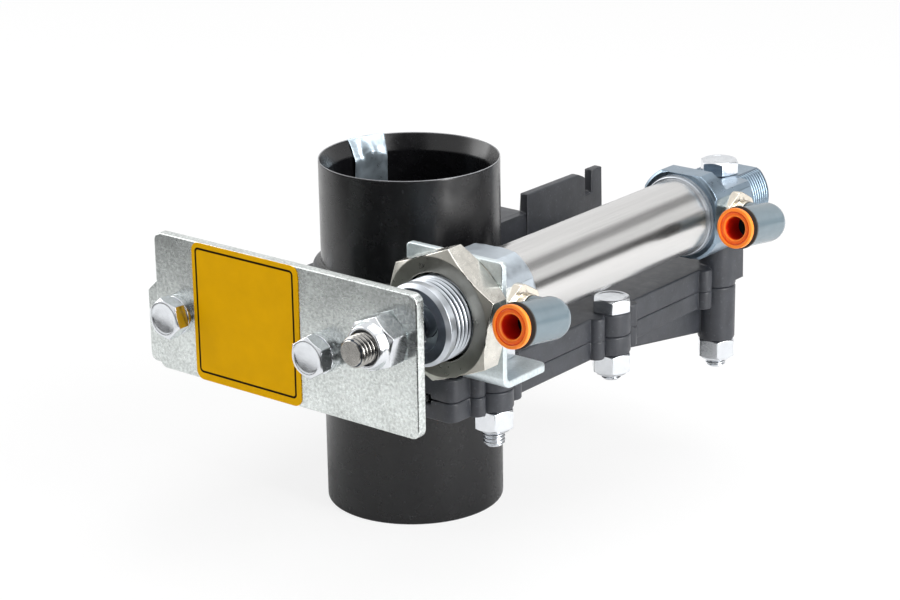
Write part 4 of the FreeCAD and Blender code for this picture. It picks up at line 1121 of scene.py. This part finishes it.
class VALVE_OT_strip(Build):
    """The crumpled foil strip over the rim of the upper spigot"""

    bl_idname = "valve.strip"
    bl_label = "Earthing strip"

    # Radius, height and how loosely the foil lies there, from its outer end to its inner one.
    PATH = [(25.06, 92.0, 0), (25.06, 98.6, 0), (25.02, 98.95, 0), (24.86, 99.06, 0), (24.6, 98.85, 0.1),
            (23.9, 97.6, 0.5), (22.9, 95.7, 0.9), (22.35, 94.6, 1.0), (22.2, 93.9, 0.9), (22.2, 90.0, 0.6),
            (22.3, 82.0, 0.3), (22.42, 69.1, 0)]
    COLUMNS, STEPS = 32, 4
    START, SPREAD = 146.2, 27.6  # degrees round the spigot
    GAUGE = 0.00008

    def build(self, sizes):
        rows = []
        for spot, following in zip(self.PATH, self.PATH[1:]):
            for step in range(self.STEPS):
                share = step / self.STEPS
                rows.append([near + share * (far - near) for near, far in zip(spot, following)])
        rows.append(self.PATH[-1])
        shape = bmesh.new()
        grid = [[shape.verts.new(self.point(*row, column / self.COLUMNS))
                 for column in range(self.COLUMNS + 1)] for row in rows]
        for first, second in zip(grid, grid[1:]):
            for column in range(self.COLUMNS):
                shape.faces.new((first[column], first[column + 1], second[column + 1], second[column]))
        bmesh.ops.recalc_face_normals(shape, faces=shape.faces)
        item = piece_of("foil_strip", shape, "foil")
        item.data.shade_smooth()
        thick = item.modifiers.new("gauge", "SOLIDIFY")
        thick.thickness = self.GAUGE
        thick.offset = 0.0
        at_rest(plain_mesh(item), "housing", "strip_metal", "earthing_strip")

    def point(self, radius, height, loose, across):
        """A point of the foil, which leaves the wall in waves and crumples where it is loose."""
        broad = math.sin(math.tau * (0.9 * across - 0.1))
        fine = math.sin(math.tau * (2.3 * across + 0.1))
        wave = 0.8 * broad + 0.2 * fine
        crumple = noise.noise(Vector((across * 3.5, height * 0.35, radius * 0.5)))
        near = radius - loose * (0.75 + 0.6 * wave + 0.35 * crumple)
        angle = math.radians(self.START + self.SPREAD * across)
        return Vector((near * math.cos(angle), near * math.sin(angle), height + loose * 0.9 * wave)) * MM


class VALVE_OT_stage(Build):
    """Floor, lamps, daylight and camera"""

    bl_idname = "valve.stage"
    bl_label = "Stage"

    LIT_POINT = Vector((0.02, 0.0, 0.06))
    EYE = Vector((0.4372328, -0.5208153, 0.289443))
    RIGHT = Vector((0.77892634, 0.62693947, -0.0148546))
    UP = Vector((-0.19183305, 0.26075651, 0.94615333))
    BACK = Vector((0.5970543, -0.73413414, 0.32337783))

    def build(self, sizes):
        stage = bpy.context.scene.valve_stage
        self.floor(stage)
        self.daylight(stage)
        self.lamp("left softbox", (-1.0, -0.3, 0.6), (0.7, 0.9), 6.4)
        self.lamp("right softbox", (1.05, 0.1, 0.65), (0.7, 0.7), 10.0)
        self.lamp("right strip", (0.558, -0.044, 0.13), (0.07, 0.26), 1.5)
        self.lamp("top softbox", (0.1, 0.3, 1.1), (0.8, 0.8), 5.0)
        self.card("rear low card", (0.56, 0.6, 0.095), (1.1, 0.19), 47, 90, 0.03)
        self.card("rear high card", (0.68, 0.73, 0.77), (1.4, 0.3), 47, 55, 0.32)
        self.card("camera side card", (0.95, -1.15, 0.75), (1.3, 1.2), -51, 65, 0.04)
        self.card("front floor card", (-0.271, -0.715, 0.001), (1.6, 1.0), 70, 0, 0.16)
        self.card("camera floor card", (0.42, -0.52, 0.002), (0.7, 1.0), -51, 0, 0.02)
        self.camera(stage)

    def card(self, name, place, size, facing, lean, shade):
        """A dark card that only shiny surfaces see, at an angle round Z and from the level."""
        shape = bmesh.new()
        bmesh.ops.create_grid(shape, x_segments=1, y_segments=1, size=0.5)
        item = linked(name, mesh_of(name, shape))
        item.data.transform(Matrix.Translation(place) @ Matrix.Rotation(math.radians(facing + 90), 4, "Z")
                            @ Matrix.Rotation(math.radians(lean), 4, "X") @ Matrix.Diagonal((*size, 1, 1)))
        finish = Finish(name)
        finish.base((shade, shade, shade))
        finish.set(specular_ior_level=0.0)
        finish.rough(0.8, 0.9, 0.05)
        item.data.materials.append(finish.material)
        item.visible_camera = item.visible_diffuse = item.visible_shadow = False

    def floor(self, stage):
        shape = bmesh.new()
        bmesh.ops.create_circle(shape, cap_ends=True, radius=4.0, segments=64)
        item = linked("floor", mesh_of("floor", shape))
        finish = Finish("floor")
        finish.base(stage.floor)
        finish.rough(0.75, 0.8, 0.05)
        glow = finish.out("ShaderNodeEmission", {"Color": (1, 1, 1, 1), "Strength": 1.0})
        seen = finish.out("ShaderNodeLightPath", pick="Is Camera Ray") * 0.8
        lit = Wire(finish, finish.shader.outputs[0])
        both = finish.out("ShaderNodeMixShader", {0: seen, 1: lit, 2: glow})
        finish.feed(finish.tree.nodes["Material Output"].inputs["Surface"], both)
        item.data.materials.append(finish.material)

    def daylight(self, stage):
        """An even light all round, which the camera and shiny metal see as white."""
        world = bpy.data.worlds.new("daylight")
        bpy.context.scene.world = world
        world.use_nodes = True
        graph = Graph(world.node_tree)
        seen, glossy, through = (graph.out("ShaderNodeLightPath", pick="Is " + kind + " Ray")
                                 for kind in ("Camera", "Glossy", "Transmission"))
        seen = seen.at_least(glossy).at_least(through)
        sky = world.node_tree.nodes["Background"]
        sky.inputs["Color"].default_value = (1, 1, 1, 1)
        graph.feed(sky.inputs["Strength"], seen * (1 - stage.daylight) + stage.daylight)

    def lamp(self, name, place, size, power):
        light = bpy.data.lights.new(name, "AREA")
        light.shape = "RECTANGLE"
        light.size, light.size_y = size
        light.energy = power
        item = linked(name, light)
        item.location = place
        item.rotation_mode = "QUATERNION"
        item.rotation_quaternion = (self.LIT_POINT - Vector(place)).to_track_quat("-Z", "Y")

    def camera(self, stage):
        """The photograph's view."""
        lens = bpy.data.cameras.new("camera")
        lens.lens = stage.lens
        lens.sensor_width = 36.0
        lens.clip_start, lens.clip_end = 0.01, 20.0
        item = linked("camera", lens)
        turned = Matrix((self.RIGHT, self.UP, self.BACK)).transposed().to_4x4()
        item.matrix_world = Matrix.Translation(self.EYE) @ turned
        bpy.context.scene.camera = item
        bpy.context.scene.view_settings.view_transform = "Standard"


PIECES = (VALVE_OT_housing, VALVE_OT_gate, VALVE_OT_fasteners, VALVE_OT_cylinder, VALVE_OT_bracket,
          VALVE_OT_elbows, VALVE_OT_strip, VALVE_OT_stage)


class VALVE_PT_panel(bpy.types.Panel):
    """Lists the valve's pieces"""

    bl_idname = "VALVE_PT_panel"
    bl_label = "Shut-off valve"
    bl_space_type = "VIEW_3D"
    bl_region_type = "UI"
    bl_category = "Valve"

    def draw(self, context):
        for settings in (context.scene.valve_sizes, context.scene.valve_colours, context.scene.valve_stage):
            box = self.layout.box()
            for key in settings.__annotations__:
                box.prop(settings, key)
        for piece in PIECES:
            self.layout.operator(piece.bl_idname)


CLASSES = (ValveSizes, ValveColours, ValveStage, *PIECES, VALVE_PT_panel)


def register():
    for item in CLASSES:
        bpy.utils.register_class(item)
    bpy.types.Scene.valve_sizes = bpy.props.PointerProperty(type=ValveSizes)
    bpy.types.Scene.valve_colours = bpy.props.PointerProperty(type=ValveColours)
    bpy.types.Scene.valve_stage = bpy.props.PointerProperty(type=ValveStage)


def unregister():
    del bpy.types.Scene.valve_stage
    del bpy.types.Scene.valve_colours
    del bpy.types.Scene.valve_sizes
    for item in reversed(CLASSES):
        bpy.utils.unregister_class(item)


def main():
    register()
    for piece in PIECES:
        group, name = piece.bl_idname.split(".")
        getattr(getattr(bpy.ops, group), name)()


if __name__ == "__main__":
    main()
